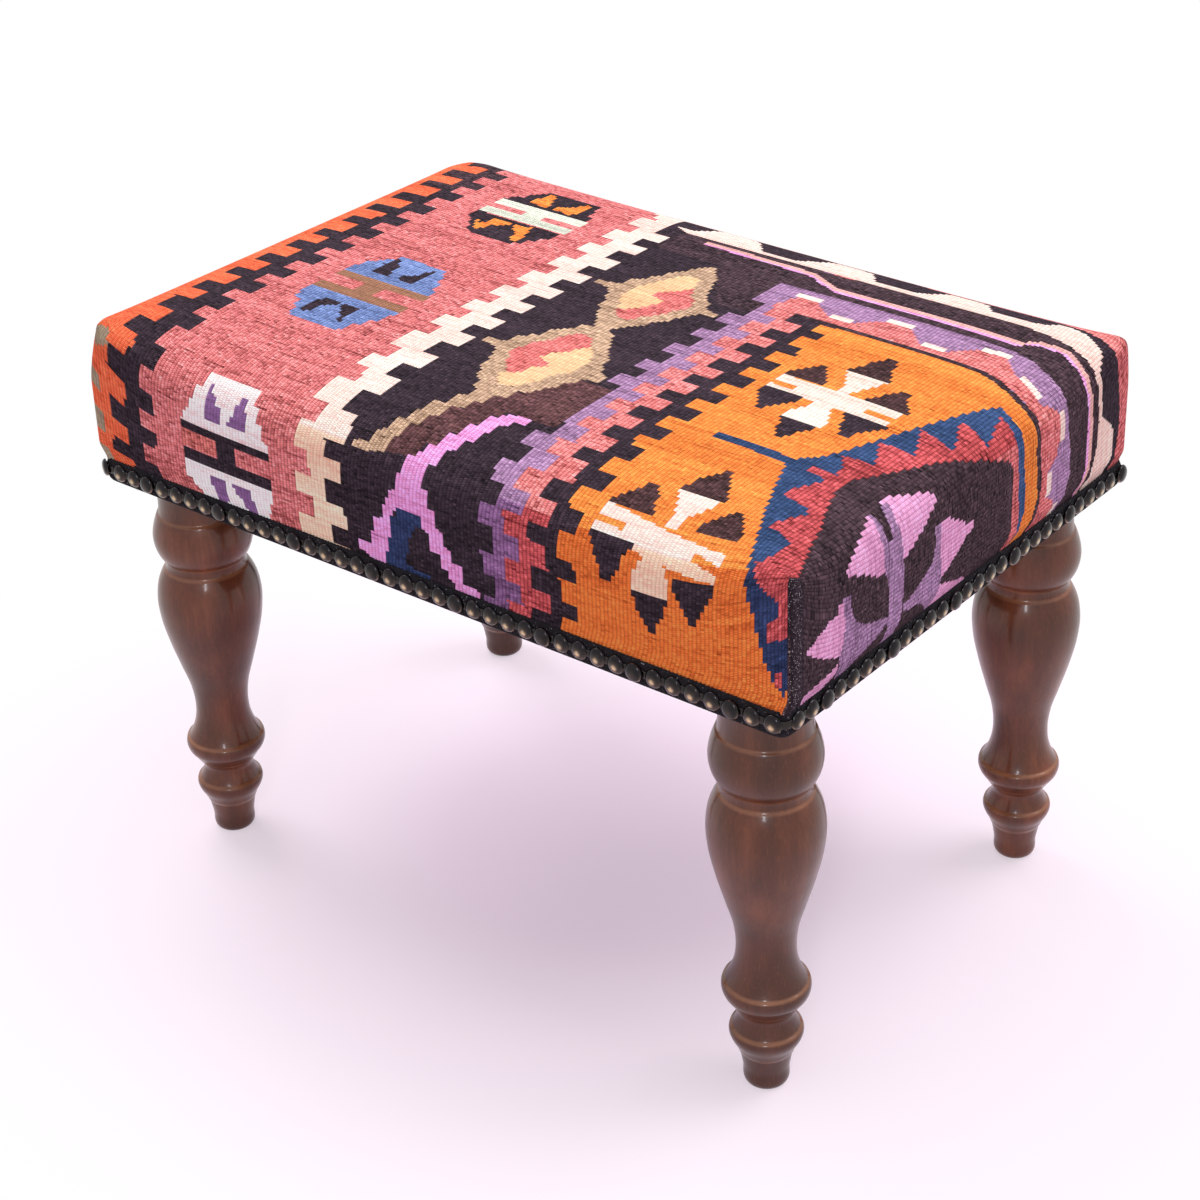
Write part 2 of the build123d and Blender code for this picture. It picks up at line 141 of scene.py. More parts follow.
# %% [markdown]
# ## The padded form
# A foam block under a tight cover is never a plain box. The long front edge is the softest: the
# cloth leaves the top a hand's breadth from the edge and turns down in one long curve. The ends
# turn more tightly, and the four corners stand up because the folded cloth is thick there.
# One way is to inflate a box with cloth simulation, but the woven pattern has to land exactly
# where it does on the real stool, so the form is written as a formula that also says where each
# point of the flat kilim goes. Across the stool and along it the cloth follows a rounded curve,
# flat on top and upright at its end, and a point's place is found by walking along that curve.

# %% The curve that the cloth follows on each side
HEM_LEVEL = 231.0
TOP_LEVEL = 317.5
HALF_LENGTH, HALF_WIDTH = 226, 155
# the top falls towards the right end, is a little hollow along and rises towards the back
FALL_ALONG, HOLLOW_ALONG, RISE_ACROSS = 4, 1, 1
# reach of the side from the middle, how square the curve is, and the height of its shoulder
SIDES = {
    "front": (154.3, 4.0, 45.0),
    "back": (155.6, 10.0, 28.0),
    "left": (229.7, 11.0, 22.0),
    "right": (226.0, 6.0, 40.0),
}
# at the corners all shoulders turn into this one, faster the higher the power
CORNER_SQUARENESS = 11.0
CORNER_SHOULDER = 15.0
TURN_POWER_ENDS, TURN_POWER_LONG = 8, 10
# radius of the upright corners: below, at the top, and what the two left ones have more on top
UPRIGHT_CORNER = 3.0
TOP_CORNER = 9.0
REAR_LEFT_CORNER = 14.0
FRONT_LEFT_CORNER = 8.0
WIDENS_FROM, WIDENS_OVER = 285, 30
# how much narrower the right end gets towards the back, and the front towards the right
RIGHT_TAPER, FRONT_TAPER = 0.0035, 0.0015
# the sides are drawn in to the frame's face under the braid
FRAME_X, FRAME_Y = 223.5, 155.0
DRAWN_IN_FROM, DRAWN_IN_OVER = 250, 9
WALK_STEPS = 4001


def shoulder_walk(side):
    """Walked length and reach along |reach/a|^n + |rise/h|^n = 1, from the middle of the top to
    the upright side."""
    reach, square, shoulder = SIDES[side]
    turn = np.linspace(np.pi / 2, 0, WALK_STEPS)
    out = reach * np.cos(turn) ** (2 / square)
    up = shoulder * np.sin(turn) ** (2 / square)
    walked = np.concatenate([[0], np.cumsum(np.hypot(np.diff(out), np.diff(up)))])
    return walked, out


WALKS = {side: shoulder_walk(side) for side in SIDES}
SHOULDER_END = {side: WALKS[side][0][-1] for side in SIDES}
HEM_END = {side: SHOULDER_END[side] + TOP_LEVEL - SIDES[side][2] - HEM_LEVEL for side in SIDES}
print("walk to the end of the shoulder and to the hem, in mm:")
for side in SIDES:
    print(side, round(SHOULDER_END[side], 1), round(HEM_END[side], 1))

# %% From a point of the flat kilim to a point of the stool
def walk_out(distance, side):
    """Reach from the middle after walking that far, and the share of the upright side that is
    below the shoulder."""
    walked, out = WALKS[side]
    below = (distance - SHOULDER_END[side]) / (HEM_END[side] - SHOULDER_END[side])
    return np.interp(distance, walked, out), np.clip(below, 0, 1)


def fall(reach, below, side, corner, depth):
    """How far the cloth has dropped: h (1 - (1 - |reach/a|^n)^(1/n)) on the shoulder, then
    straight down."""
    limit, square, shoulder = SIDES[side]
    n = square + (CORNER_SQUARENESS - square) * corner
    h = shoulder + (CORNER_SHOULDER - shoulder) * corner
    part = np.clip(reach / limit, 0, 1)
    curve = h * (1 - (1 - part**n) ** (1 / n))
    return np.where(below > 0, h + below * (depth - h), curve)


def one_way(distance, high_side, low_side):
    """Signed place after walking along the cloth, how far that way the stool reaches, and a
    function for the drop, which takes the nearness of a corner and the depth of the side."""
    high, high_below = walk_out(distance, high_side)
    low, low_below = walk_out(-distance, low_side)
    limit = np.where(distance > 0, SIDES[high_side][0], SIDES[low_side][0])

    def drop(corner, depth):
        on_high = fall(high, high_below, high_side, corner, depth)
        return np.where(distance > 0, on_high, fall(low, low_below, low_side, corner, depth))

    return np.where(distance > 0, high, -low), limit, drop


def on_stool(p, q):
    """Place on the stool of the kilim's point p along and q across: walked out both ways, with
    the two drops joined as a fourth-power sum, the upright corners rounded, and the sides drawn
    in to the braid."""
    x, reach_x, drop_x = one_way(p, "right", "left")
    y, reach_y, drop_y = one_way(q, "back", "front")
    along, across = x / HALF_LENGTH, y / HALF_WIDTH
    top = TOP_LEVEL - FALL_ALONG * along + HOLLOW_ALONG * along**2 + RISE_ACROSS * across
    depth = top - HEM_LEVEL
    near_long_side = np.abs(y / reach_y) ** TURN_POWER_ENDS
    near_end = np.abs(x / reach_x) ** TURN_POWER_LONG
    z = top - (drop_x(near_long_side, depth) ** 4 + drop_y(near_end, depth) ** 4) ** 0.25
    high = np.clip((z - WIDENS_FROM) / WIDENS_OVER, 0, 1) ** 1.5
    wider = np.where(p < 0, np.where(q > 0, REAR_LEFT_CORNER, FRONT_LEFT_CORNER), 0)
    radius = UPRIGHT_CORNER + high * (TOP_CORNER - UPRIGHT_CORNER + wider)
    round_x = np.abs(x) - (reach_x - radius)
    round_y = np.abs(y) - (reach_y - radius)
    turned = (round_x > 0) & (round_y > 0)
    pull = np.maximum(round_x, round_y) / np.maximum(np.hypot(round_x, round_y), 1e-9)
    x = np.where(turned, np.sign(x) * (reach_x - radius + round_x * pull), x)
    y = np.where(turned, np.sign(y) * (reach_y - radius + round_y * pull), y)
    x = x * (1 - RIGHT_TAPER * across * (p > 0))
    y = y * (1 - FRONT_TAPER * along * (q < 0))
    low = np.clip((DRAWN_IN_FROM - z) / DRAWN_IN_OVER, 0, 1)
    low = low * low * (3 - 2 * low)
    scale_x = 1 + (FRAME_X / reach_x - 1) * low
    scale_y = 1 + (FRAME_Y / reach_y - 1) * low
    return np.stack([x * scale_x, y * scale_y, z], -1)


print("middle of the top:", on_stool(np.array(0.0), np.array(0.0)).round(1))

# %% [markdown]
# ## The cloth's grid
# A kilim is a plain weave whose weft hides the warp, so it shows ribs: each warp thread makes a
# little ridge 2.3 mm wide, and each weft row is about 1.15 mm high. The mesh uses the same grid.
# Its columns are the ribs and its rows are the weft rows, so each face is one rib wide and one
# row high, and a colour for each face gives the stepped edges that a weaver makes.
# The flat piece is a cross: the top with four flaps. Neighbouring flaps share the points of the
# upright corner seam, and the hem turns in under the frame.

# %% Points and faces of the cover
RIB = 2.3
ROW = 1.15
FLAP_STEPS = 38


def cloth_lines(low_side, high_side, step):
    """Grid lines through one direction of the cloth: flap, top, flap, with the same number of
    steps on each flap."""
    low_end, low_hem = SHOULDER_END[low_side], HEM_END[low_side]
    high_end, high_hem = SHOULDER_END[high_side], HEM_END[high_side]
    count = round((low_end + high_end) / step)
    first = -np.linspace(low_hem, low_end, FLAP_STEPS + 1)[:-1]
    middle = np.linspace(-low_end, high_end, count + 1)
    last = np.linspace(high_end, high_hem, FLAP_STEPS + 1)[1:]
    return np.concatenate([first, middle, last])


p_lines = cloth_lines("left", "right", RIB)
q_lines = cloth_lines("front", "back", ROW)
P, Q = np.meshgrid(p_lines, q_lines)
columns, rows = len(p_lines), len(q_lines)
cloth_points = on_stool(P, Q)
cloth_index = np.arange(rows * columns).reshape(rows, columns)

# at each corner the side flap's edge uses the points of the front or back flap's edge
steps = np.arange(FLAP_STEPS)
last_row, last_column = rows - 1 - FLAP_STEPS, columns - 1 - FLAP_STEPS
for edge_row, flap_rows in ((FLAP_STEPS, steps), (last_row, rows - 1 - steps)):
    for edge_column, flap_columns in ((FLAP_STEPS, steps), (last_column, columns - 1 - steps)):
        cloth_index[edge_row, flap_columns] = cloth_index[flap_rows, edge_column]

cell_rows = np.arange(rows - 1)
cell_columns = np.arange(columns - 1)
top_rows = (cell_rows >= FLAP_STEPS) & (cell_rows < last_row)
top_columns = (cell_columns >= FLAP_STEPS) & (cell_columns < last_column)
in_cross = top_rows[:, None] | top_columns[None, :]
cloth_faces = grid_faces(cloth_index).reshape(rows - 1, columns - 1, 4)[in_cross]
face_p, face_q = (((grid[:-1, :-1] + grid[1:, 1:]) / 2)[in_cross] for grid in (P, Q))
print("faces of the kilim:", len(cloth_faces))

# %% [markdown]
# ## Dyes and the way the pattern is drawn
# The pattern is drawn like a weaver's cartoon on squared paper, in millimetres of the flat
# kilim: p runs along the stool and q across it. Each shape is an outline of stepped corners, and
# each border is a line that jumps between two places, tooth after tooth. Shapes are painted one
# over another onto the faces, as a weaver would read them from back to front.

# %% The dyes and the painting helpers
def srgb(red, green, blue):
    """The linear colour of an sRGB colour given from 0 to 255."""
    c = np.array([red, green, blue]) / 255
    return np.where(c <= 0.04045, c / 12.92, ((c + 0.055) / 1.055) ** 2.4)


# each dye: its sRGB colour, and how unevenly it took as a share of its lightness
DYES = {
    "madder": (213, 119, 120, 0.2),
    "vermilion": (228, 104, 70, 0.1),
    "orange": (231, 130, 61, 0.11),
    "black": (52, 40, 49, 0.2),
    "bark": (67, 45, 47, 0.24),
    "brown_black": (65, 48, 55, 0.26),
    "umber": (90, 59, 61, 0.24),
    "ivory": (236, 197, 188, 0.06),
    "cream": (226, 202, 191, 0.06),
    "pistachio": (204, 206, 192, 0.06),
    "white": (253, 217, 218, 0.06),
    "olive": (182, 150, 126, 0.15),
    "khaki": (150, 132, 112, 0.06),
    "apricot": (222, 178, 138, 0.06),
    "garnet": (212, 114, 112, 0.17),
    "violet": (158, 121, 158, 0.14),
    # six darker copies in this table, of violet, orange, ivory, navy and twice of rose red, are
    # painted shade for the front flap and the right end; the front flap's darker rose also colours
    # the gable
    "violet_painted_shade": (133, 93, 136, 0.14),
    "rose_red": (222, 126, 125, 0.2),
    "gable_red_and_rose_shade": (187, 80, 84, 0.2),
    "rose_red_painted_shade": (209, 112, 114, 0.2),
    "orange_painted_shade": (223, 114, 54, 0.11),
    "ivory_painted_shade": (243, 191, 168, 0.06),
    "blue": (109, 127, 176, 0.13),
    "tan": (144, 102, 81, 0.06),
    "pink": (226, 148, 204, 0.1),
    "navy": (52, 73, 112, 0.12),
    "navy_painted_shade": (46, 57, 93, 0.12),
    "lilac": (214, 150, 190, 0.08),
    "plum": (126, 89, 135, 0.06),
    "rose": (207, 156, 152, 0.06),
    "coral": (200, 108, 103, 0.2),
}
dye_names = list(DYES)
dye_of_face = np.zeros(len(face_p), np.int32)


def pairs(text):
    """The rows of two numbers in a text such as "12,5 14,-3"."""
    return np.array([pair.split(",") for pair in text.split()], float)


def inside(outline):
    """Even-odd rule: a face is inside where a line to its right crosses the outline an odd
    number of times."""
    corners = np.array(outline, float)
    odd = np.zeros(len(face_p), bool)
    for (p0, q0), (p1, q1) in zip(corners, np.roll(corners, -1, 0)):
        spans = (q0 > face_q) != (q1 > face_q)
        crossing = p0 + (face_q - q0) * (p1 - p0) / (q1 - q0 if q1 != q0 else 1)
        odd ^= spans & (face_p < crossing)
    return odd


def dye_faces(faces, dye):
    """Give a dye to a selection of faces."""
    dye_of_face[faces] = dye_names.index(dye)


def dyed(dye):
    """The faces that have a dye now."""
    return dye_of_face == dye_names.index(dye)


def paint(dye, *shapes):
    """Give a dye to every face inside any of the shapes. A shape is a list of corners, or a text
    of outlines with semicolons between them."""
    for shape in shapes:
        for outline in map(pairs, shape.split(";")) if isinstance(shape, str) else [shape]:
            dye_faces(inside(outline), dye)


def toothed(inner, outer, teeth):
    """A border line across the cloth: at the inner place, and at the outer place along each
    tooth (from, to). Both places are given at four stations across."""
    stations = [-230, -150, -80, 160]
    line = np.interp(face_q, stations, inner)
    tip = np.interp(face_q, stations, outer)
    for high, low in teeth:
        line = np.where((face_q < high) & (face_q > low), tip, line)
    return line


def box_outline(left, low, right, high):
    """The four corners of an upright rectangle."""
    return [(left, low), (right, low), (right, high), (left, high)]


print("dyes:", len(DYES))

# %% [markdown]
# ### The crenellated borders
# From left to right the cloth has bands of vermilion, black, madder, ivory, black, violet, rose
# and black, and then the orange field. Each pair meets in a row of square teeth about 24 mm
# apart. The teeth are not quite even, because the weaver beat some rows harder than others.

# %% Bands with toothed borders
borders = [
    ("black", (-217, -211, -217, -218), (-205, -199, -203, -200), """
    142,131 119,109 99,86 74,62.5 52.5,41 30,17 6,-4 -16,-27.5 -39.5,-52 -63,-75 -88,-99 -115,-129
    -143,-159 -176,-186 -196,-204 -210,-230"""),
    ("madder", (-182, -179, -182, -183), (-193, -188, -193, -194), """
    150,140 129,119 110,99 87.5,75.5 62.5,52.5 41,30 17,6 -5,-16 -27.5,-39.5 -51,-63 -76,-87
    -100,-111 -125,-142 -157,-170 -181,-190 -198,-207"""),
    ("ivory", (-75, -77, -79, -78), (-63, -67, -69, -69), """
    146,136 122.5,112 98.5,88 75,64 50,38 24,14 0.5,-10 -22.5,-34 -47,-58 -78,-90 -103,-116
    -136,-149 -164,-177 -189,-200 -211,-230"""),
    ("black", (-52, -57, -58, -57), (-41, -45, -47, -46), """
    120,110 99,87.5 75,62 50,38.5 25.5,13 2,-10 -22.5,-35 -47,-60 -75,-90 -104,-120 -137,-154
    -164,-175 -189,-201 -210,-230"""),
    ("violet", (56, 54, 51, 51), (49, 45, 41, 41), """
    104.5,92 79.5,69 55.5,43 32,21 9,-3 -15,-25.5 -36,-48 -58,-70 -80,-94 -106,-119 -131,-145
    -157,-167 -182,-195 -207,-230"""),
    ("rose_red", (64, 60, 57, 57), (73, 70, 66, 66), """
    88,76 64,55 41,31 18,7.5 -5.5,-15.5 -27.5,-37 -49,-59 -71,-82 -92,-106 -119,-132 -145,-157
    -168,-181 -194,-205"""),
    ("black", (79, 76, 72, 72), (90, 87, 83, 82), """
    64,52.5 41,30 19,7 -5,-15 -26,-37.5 -48,-59.5 -70,-82 -93,-106 -117,-133 -145,-158 -167,-180
    -193,-204"""),
    ("orange", (107, 103, 101, 98), (98, 93, 90, 88), """
    71,62 53,40.5 30,19 8,-2.5 -15,-26 -37,-47.5 -60.5,-72 -83,-94 -106,-119 -131,-145 -157,-170
    -181,-194 -203,-230"""),
]
dye_faces(..., "vermilion")
for dye, inner, outer, teeth in borders:
    dye_faces(face_p > toothed(inner, outer, pairs(teeth)), dye)
print("borders:", len(borders))

# %% [markdown]
# ### Motifs of the madder band
# Three motifs stand on the madder band, each a pair of stepped caps with a letter-like bar of
# two rails and a post between them. The rear one is black with orange flecks on white rails, the
# middle one is blue on tan rails, and the front one is white on black rails, over the edge.

# %% Rear, middle and front motif
def rails(dye, left, right, post_left, post_right, upper, lower):
    """Two level rails joined by a post: upper and lower are the (high, low) of each rail."""
    for high, low in (upper, lower):
        paint(dye, box_outline(left, low, right, high))
    paint(dye, box_outline(post_left, lower[0] - 1, post_right, upper[1] + 1))


paint("black", """
    -144,134 -107,134 -107,125.5 -104,125.5 -104,117 -99,117 -99,109 -161,109 -159,114 -156,118
    -153,118 -153,124 -149,126 -147,130;
    -162,87.5 -99,86.5 -100,76 -104,75 -104,69 -108,69 -108,62.5 -113,62 -113,59 -143,59 -146,61.5
    -150,62.5 -151,69 -154,70 -156,76 -160,77 -161,82""")
paint("orange", """
    -142.5,131.5 -137.5,131.5 -136.5,126 -134.5,122.5 -134.5,120 -131,118.5 -130.5,113.5
    -134,112.5 -139,114.5 -145,115 -144.5,121 -143,126;
    -115,131.5 -112,131.5 -111,125 -111,117.5 -113,112.5 -117.5,112.5 -120,114 -125,113 -127,115.5
    -125,120 -120,121 -117.5,125;
    -143.5,84 -132,83 -132.5,80 -136,76 -140,75 -141,70 -143,65 -146,65 -147,71 -145.5,80;
    -152,75.5 -147,66 -146,68 -151,77;
    -128.5,83.5 -120,83.5 -119,86 -117.5,86 -117,82 -114,72.5 -113.5,63.5 -117.5,63.5 -120,68
    -121,73.5 -125,76 -128,80""")
rails("pistachio", -161.5, -98, -137, -123, (110, 102), (95.5, 87.5))

paint("blue", """
    -149,10 -115,8.5 -114,4 -110,0 -109.5,-5 -106,-7.5 -105,-14 -102,-16 -100.5,-22 -164,-22
    -164.5,-14 -161,-12.5 -160.5,-5 -156,-4 -155,2 -151,4;
    -163.5,-47 -99.5,-47 -101,-56 -102,-62.5 -105.5,-63 -106,-70 -111,-71 -111.5,-79 -113,-81.5
    -147,-81.5 -149.5,-79.5 -150,-73 -154,-71 -154.5,-65 -160,-64 -160.5,-58 -164,-57""")
paint("black", """
    -149,6 -145,5 -144,1 -141,-1 -140.5,-8 -137,-15 -141,-15.5 -146,-16 -150,-16 -150.5,-8 -151,-3;
    -122.5,5.5 -120,5 -120.5,-2.5 -119.5,-10 -119.5,-16 -127.5,-16 -131,-14.5 -130.5,-9 -126,-6
    -124,-2.5;
    -146,-56 -135,-55 -134,-59.5 -137.5,-61 -140,-65 -140.5,-71 -144,-75.5 -147,-74 -147,-65;
    -130.5,-56 -120,-55 -119,-65 -118.5,-74 -122,-72 -122,-67.5 -127.5,-66 -128,-61 -130.5,-59.5""")
rails("tan", -164, -100, -139.5, -127, (-22, -29), (-40, -47.5))

paint("coral", box_outline(-160, -187, -134, -179))
paint("white", """
    -145.5,-142.5 -109.5,-143.5 -109,-151.5 -103.5,-152 -103,-160 -98.5,-160.5 -98,-169 -94.5,-170
    -94.5,-174.5 -159,-174.5 -156,-169 -153,-166 -152.5,-160.5 -150,-159.5 -149.5,-152.5 -146,-152;
    -159.5,-194 -94.5,-194 -95,-202 -97.5,-203 -98.5,-212.5 -100,-216 -146,-216 -150,-212.5
    -150.5,-209 -154,-208.5 -154.5,-205 -159,-204.5""")
paint("plum", """
    -141,-149 -137.5,-149.5 -137,-154 -133,-155 -132.5,-159 -128,-160 -128,-168 -140.5,-168
    -140,-162 -141.5,-156;
    -117,-149.5 -112.5,-150 -112,-156 -110.5,-160.5 -110.5,-167.5 -123.5,-167 -123,-162
    -120,-160.5 -119.5,-155 -117,-154.5;
    -141.5,-199.5 -129,-199.5 -129,-204.5 -130,-208.5 -130.5,-214 -136.5,-214 -138.5,-209
    -139.5,-204.5 -141.5,-203;
    -124,-199.5 -111,-199 -110.5,-203 -108.5,-207.5 -107,-214 -112,-213 -117,-210 -118.5,-206
    -122.5,-204""")
rails("black", -159.5, -94.5, -133, -121, (-174, -179), (-189, -195))
print("three motifs on the madder band")

# %% [markdown]
# ### The black field: two diamonds, a running line and the pink gable
# Two olive diamonds with spikes lie end to end on the black field. A stepped olive line runs
# from the front diamond to the front edge, brown-black wool fills the ground beside it, and a
# stepped pink gable with a navy heart stands over the front hem.

# %% Diamonds, running line and pink gable
paint("brown_black", box_outline(-44, 104, 60, 131))
paint("brown_black", "3,104 3,96 16,78 28,62 50,62 50,104")
paint("umber", """
    24,-55 50,-55 50,-100 36,-100 21,-101 21,-106 15,-107 15,-117 10,-118 10,-127 6,-127.5 6,-138
    0.5,-138.5 0,-147.5 -5,-148 -19.7,-150.5 -24,-140 -11,-111 -1,-109 -1,-100 5,-88 10,-82
    16,-81 19,-72 24,-66""")
paint("olive", """
    -2,99 1,99 3,96 6,92 10,87.5 11,84 15,75 18,67.5 21,62.5 26,59 29.5,51 39,50 39,46 29.5,45
    28,41 24,35 22.5,30 21,26 17,22.5 16,19 14,15 9,10 7,6 4.5,3 5,0 10,-2.5 12,-7.5 15,-11
    17.5,-16 21,-21 24,-25 27.5,-29 28,-35 31,-37.5 32.5,-42 37.5,-44 39,-47.5 39.5,-52 30,-53
    29,-59 25,-62.5 24,-67.5 20,-72.5 17,-80 10,-82 10,-90 4.5,-91 4.5,-99.7 -1.3,-100.5
    -1.3,-108.8 -7.5,-110 -7.5,-120 -11.6,-121 -12,-130 -16.6,-131 -16.6,-140 -19.7,-141
    -19.7,-150.5 -29.8,-153.6 -39.2,-152.8 -39.2,-149.7 -29.4,-148 -29,-138.4 -26,-138 -26,-129.4
    -21.7,-128.6 -21.7,-120 -17.8,-119 -18,-110 -12.3,-109 -12.3,-99 -6.4,-98.4 -6.4,-90 -12,-89
    -12.3,-82.5 -15.8,-81 -19,-77.5 -20,-72.5 -22.5,-70 -24,-62.5 -26,-59 -27.5,-52.5 -30.5,-49
    -42,-47 -42,-42.5 -31,-41 -31,-32.5 -26,-30 -25,-26 -20,-25 -21,-21 -20,-16 -15,-11 -12.5,-7.5
    -12.5,-2.5 -6,0 -5.5,1 -8,5 -11,10 -15,14 -16,20 -20,22.5 -21,30 -25,34 -27,40 -31,44 -42,46
    -42,50 -31,51 -28,54 -27.5,61 -22.5,64 -21,69 -16,75 -15,82.5 -11,84 -10,89 -6,95""")
paint("apricot", """
    -5,82.5 2.5,82.5 5,76 7,70 5,65 1,60 -5,55 -5,49 4,47.5 3,40 0,34 -2.5,30 -6,26 -11,27.5
    -12.5,32.5 -16,35 -19,41 -19.5,50 -17.5,57.5 -14,64 -12.5,70 -9,77.5""")
paint("garnet", """
    7.5,69.5 11,65 12.5,60 17.5,57.5 19.5,51 19.5,45 16,40 15,34 10,27.5 6,22.5 5,17.5 -2.5,16
    -5.5,20 -11,25 -6,26 0,34 3,40 4,47.5 -5,49 -5,55 1,60 5,65;
    -5.5,-11 5,-12 5.5,-16 10,-21 5,-27.5 2.5,-34 -2.5,-37.5 -4,-45 5,-49 5.5,-52.5 0,-56 0,-64
    -4,-67.5 -7.5,-69 -10,-64 -15,-60 -17.5,-54 -21,-50 -22,-45 -19,-40 -17.5,-32.5 -14,-29
    -11,-21 -9,-16""")
paint("apricot", """
    10,-21 15,-26 19,-32.5 20.5,-40 21,-50 16,-55 14,-61 12.5,-67.5 9,-74 5,-79.5 -2.5,-80.5
    -6,-76 -10,-70 -4,-67.5 0,-64 0,-56 5.5,-52.5 5,-49 -4,-45 -2.5,-37.5 2.5,-34 5,-27.5""")
paint("pink", """
    22,-101.3 36,-100.5 36,-105.6 29.5,-106 29,-111 26,-112 26,-119 22,-120 22,-128.6 18,-129.4
    18,-137.5 14,-138 14,-148 9,-149 9,-160.6 14,-162 14.4,-170 19,-171.6 19,-180 23,-181
    23.3,-188.4 28,-189.5 28.3,-196 34,-196 35,-206 46.3,-206.7 46.7,-210.6 42,-216 -15.8,-216
    -22.8,-214 -29,-209 -34.5,-208 -34,-203 -26,-202.5 -26.3,-195 -22.5,-194 -22.8,-186.4
    -17.3,-185.6 -17.3,-177.8 -13.4,-177 -12.7,-168.4 -8,-167 -8,-158.3 -4.4,-157.5 -4.8,-148
    0.6,-147.3 1,-138.8 5.6,-138 5.6,-128.6 10,-127.8 10,-118.4 14.7,-117.7 15,-107.8 21,-107""")
paint("black", """
    -8,-176.3 8,-176.3 8.4,-182.8 12.8,-184 12.3,-189.5 14.4,-193.4 19.8,-194 20.5,-201 25.3,-202
    25.6,-206 28.8,-207.5 31,-216 -15.8,-216""")
paint("navy", """
    -8,-176.3 8,-176.3 8.4,-182.8 3.8,-183.3 2.2,-190 0.2,-191 -0.2,-198 -2.5,-203 -1.7,-207.5
    12.3,-207.8 13,-210.6 -2.5,-212 -2.5,-216 -15.8,-216 -17.3,-204.7 -15,-203.6 -15.3,-196
    -12.2,-195 -12,-182.5 -8,-181.7""")
print("faces in umber:", int(dyed("umber").sum()))

# %% [markdown]
# ### The orange field
# Two six-petalled flowers, each made of black triangles round a white cross, stand on the orange
# field. A navy gable with red teeth closes the field on the right, and a navy bar joins it.

# %% Flowers, bar and gable
def petal(centre, base, tip, half, steps=6):
    """A stepped triangle: from its base line to its tip the half width shrinks in equal steps."""
    levels = np.linspace(base, tip, steps + 1)
    widths = half * (1 - np.arange(steps) / steps * 0.92)
    edge = [(w, q) for w, a, b in zip(widths, levels, levels[1:]) for q in (a, b)]
    return [(centre - w, q) for w, q in edge] + [(centre + w, q) for w, q in edge[::-1]]


def flower(p, q, dye, turn=0.0):
    """Six petals, a cross bar with two slots and two pale wedges, about the point p, q."""
    paint(dye, [
        (p - 12, q + 26), (p + 12, q + 26), (p + 11, q + 21), (p + 5, q + 10), (p + 4, q + 1),
        (p - 3, q + 1), (p - 3, q + 10), (p - 9, q + 21)])
    paint(dye, [
        (p - 6, q - 9), (p + 6, q - 9), (p + 6, q - 15), (p + 12, q - 27), (p + 12, q - 34),
        (p - 10, q - 34), (p - 10, q - 27), (p - 5, q - 17)])
    paint(dye, [(p - 36, q + 4), (p + 36, q + 3 - turn), (p + 36, q - 13 - turn), (p - 36, q - 12)])
    paint("orange", [(p - 36, q - 3.5), (p - 21, q - 3.5), (p - 21, q - 8), (p - 36, q - 7.5)])
    paint("orange", [
        (p + 20, q - 3 - turn / 2), (p + 36, q - 4 - turn), (p + 36, q - 8.5 - turn),
        (p + 20, q - 8 - turn / 2)])
    left, right, wide, narrow = p - 24, p + 25, 12.5, 10.5
    paint("bark", petal(p, q + 26, q + 50, wide), petal(left, q + 4, q + 24, wide),
          petal(right, q + 3, q + 23, wide))
    paint("black", petal(left, q - 12, q - 34, wide),
          petal(right, q - 13 - turn, q - 34 - turn, wide), petal(p + 1, q - 34, q - 54, narrow))


paint("brown_black", box_outline(72, 71.5, 206, 76))
flower(143, 6.5, "cream")
flower(147, -139, "ivory", 9)
paint("navy", "120,-60 165,-61 165,-67 120,-66", """
    209.4,52.5 222,47.5 237.5,46.8 253,48.3 272,49 285,43 292,36 292,-20 240,-120 229,-205
    224,-209 217.5,-205 211.5,-195 207.5,-182.5 202.8,-171.6 199.7,-157.5 197.3,-146.6
    192.7,-135.6 188,-124.7 182.5,-113.8 177.8,-102.8 171.5,-88.8 165,-72 162.5,-66 166,-58
    170,-54 174,-48 180,-32 185,-16 190,0 195,15 200,30""")
paint("rose_red", """
    226.6,40.5 253,41.8 272,43.3 284,40.5 295,34 295,-60 240,-150 228,-190 213.8,-188 214,-181
    222,-180 218,-176 210,-165 204,-156 204,-146 206.5,-138 207.5,-130 205,-125 199,-122 191,-121
    191,-114 194,-106 197,-99 194,-95 186,-94 178,-92.5 179,-85 182.5,-78 185,-72 187,-68 175,-67
    175,-61 187,-61 186,-55 182,-48 179,-44 184,-42.5 195,-41.5 192,-34 188,-27 185.5,-21
    192,-20.5 204,-20.5 201,-12 197,-5 193.5,3 200,2 213.5,-1 211,8 206,16 203,24.5 209,23
    222,18.6 219.5,27 216,36 213.8,44.5 219,43""")
print("the gable and two flowers on the orange field")

# %% [markdown]
# ### The ground beyond the gable
# On the right end the gable holds a black-brown field with a flowering branch in lilac and
# violet. Its stem lies level there, because the ribs of the cloth turn down over the end.

# %% Field and branch of the right end
paint("brown_black", """
    236,33 242,36.5 275,36.6 286,30 300,26 300,-230 226,-230 226,-147 218.8,-133 212.5,-119
    208.6,-106 201.6,-92 198.4,-83 193.8,-69 194.5,-61 200.8,-48.4 206.3,-36 214,-15.6 219.5,-3
    222,0 226.6,12.4 232.8,26.4""")
paint("rose_red", "200,-146 226,-146 226,-179 222,-179 210,-165 204,-156")
paint("rose_red", box_outline(217.5, -205.5, 222.5, -201))
paint("lilac", """
    225,-33 229.5,-33 231,-38 234,-42 237,-46 239.5,-51 242,-55 244.5,-59 246,-67 230,-69 222,-68
    213,-64 213.8,-57 216,-53 219,-47 221,-40;
    216,-78 232,-78 247,-76.5 244.5,-86 241,-93 238,-101 236,-108 233.5,-111.5 230,-108 227,-102
    223,-95 220,-87""")
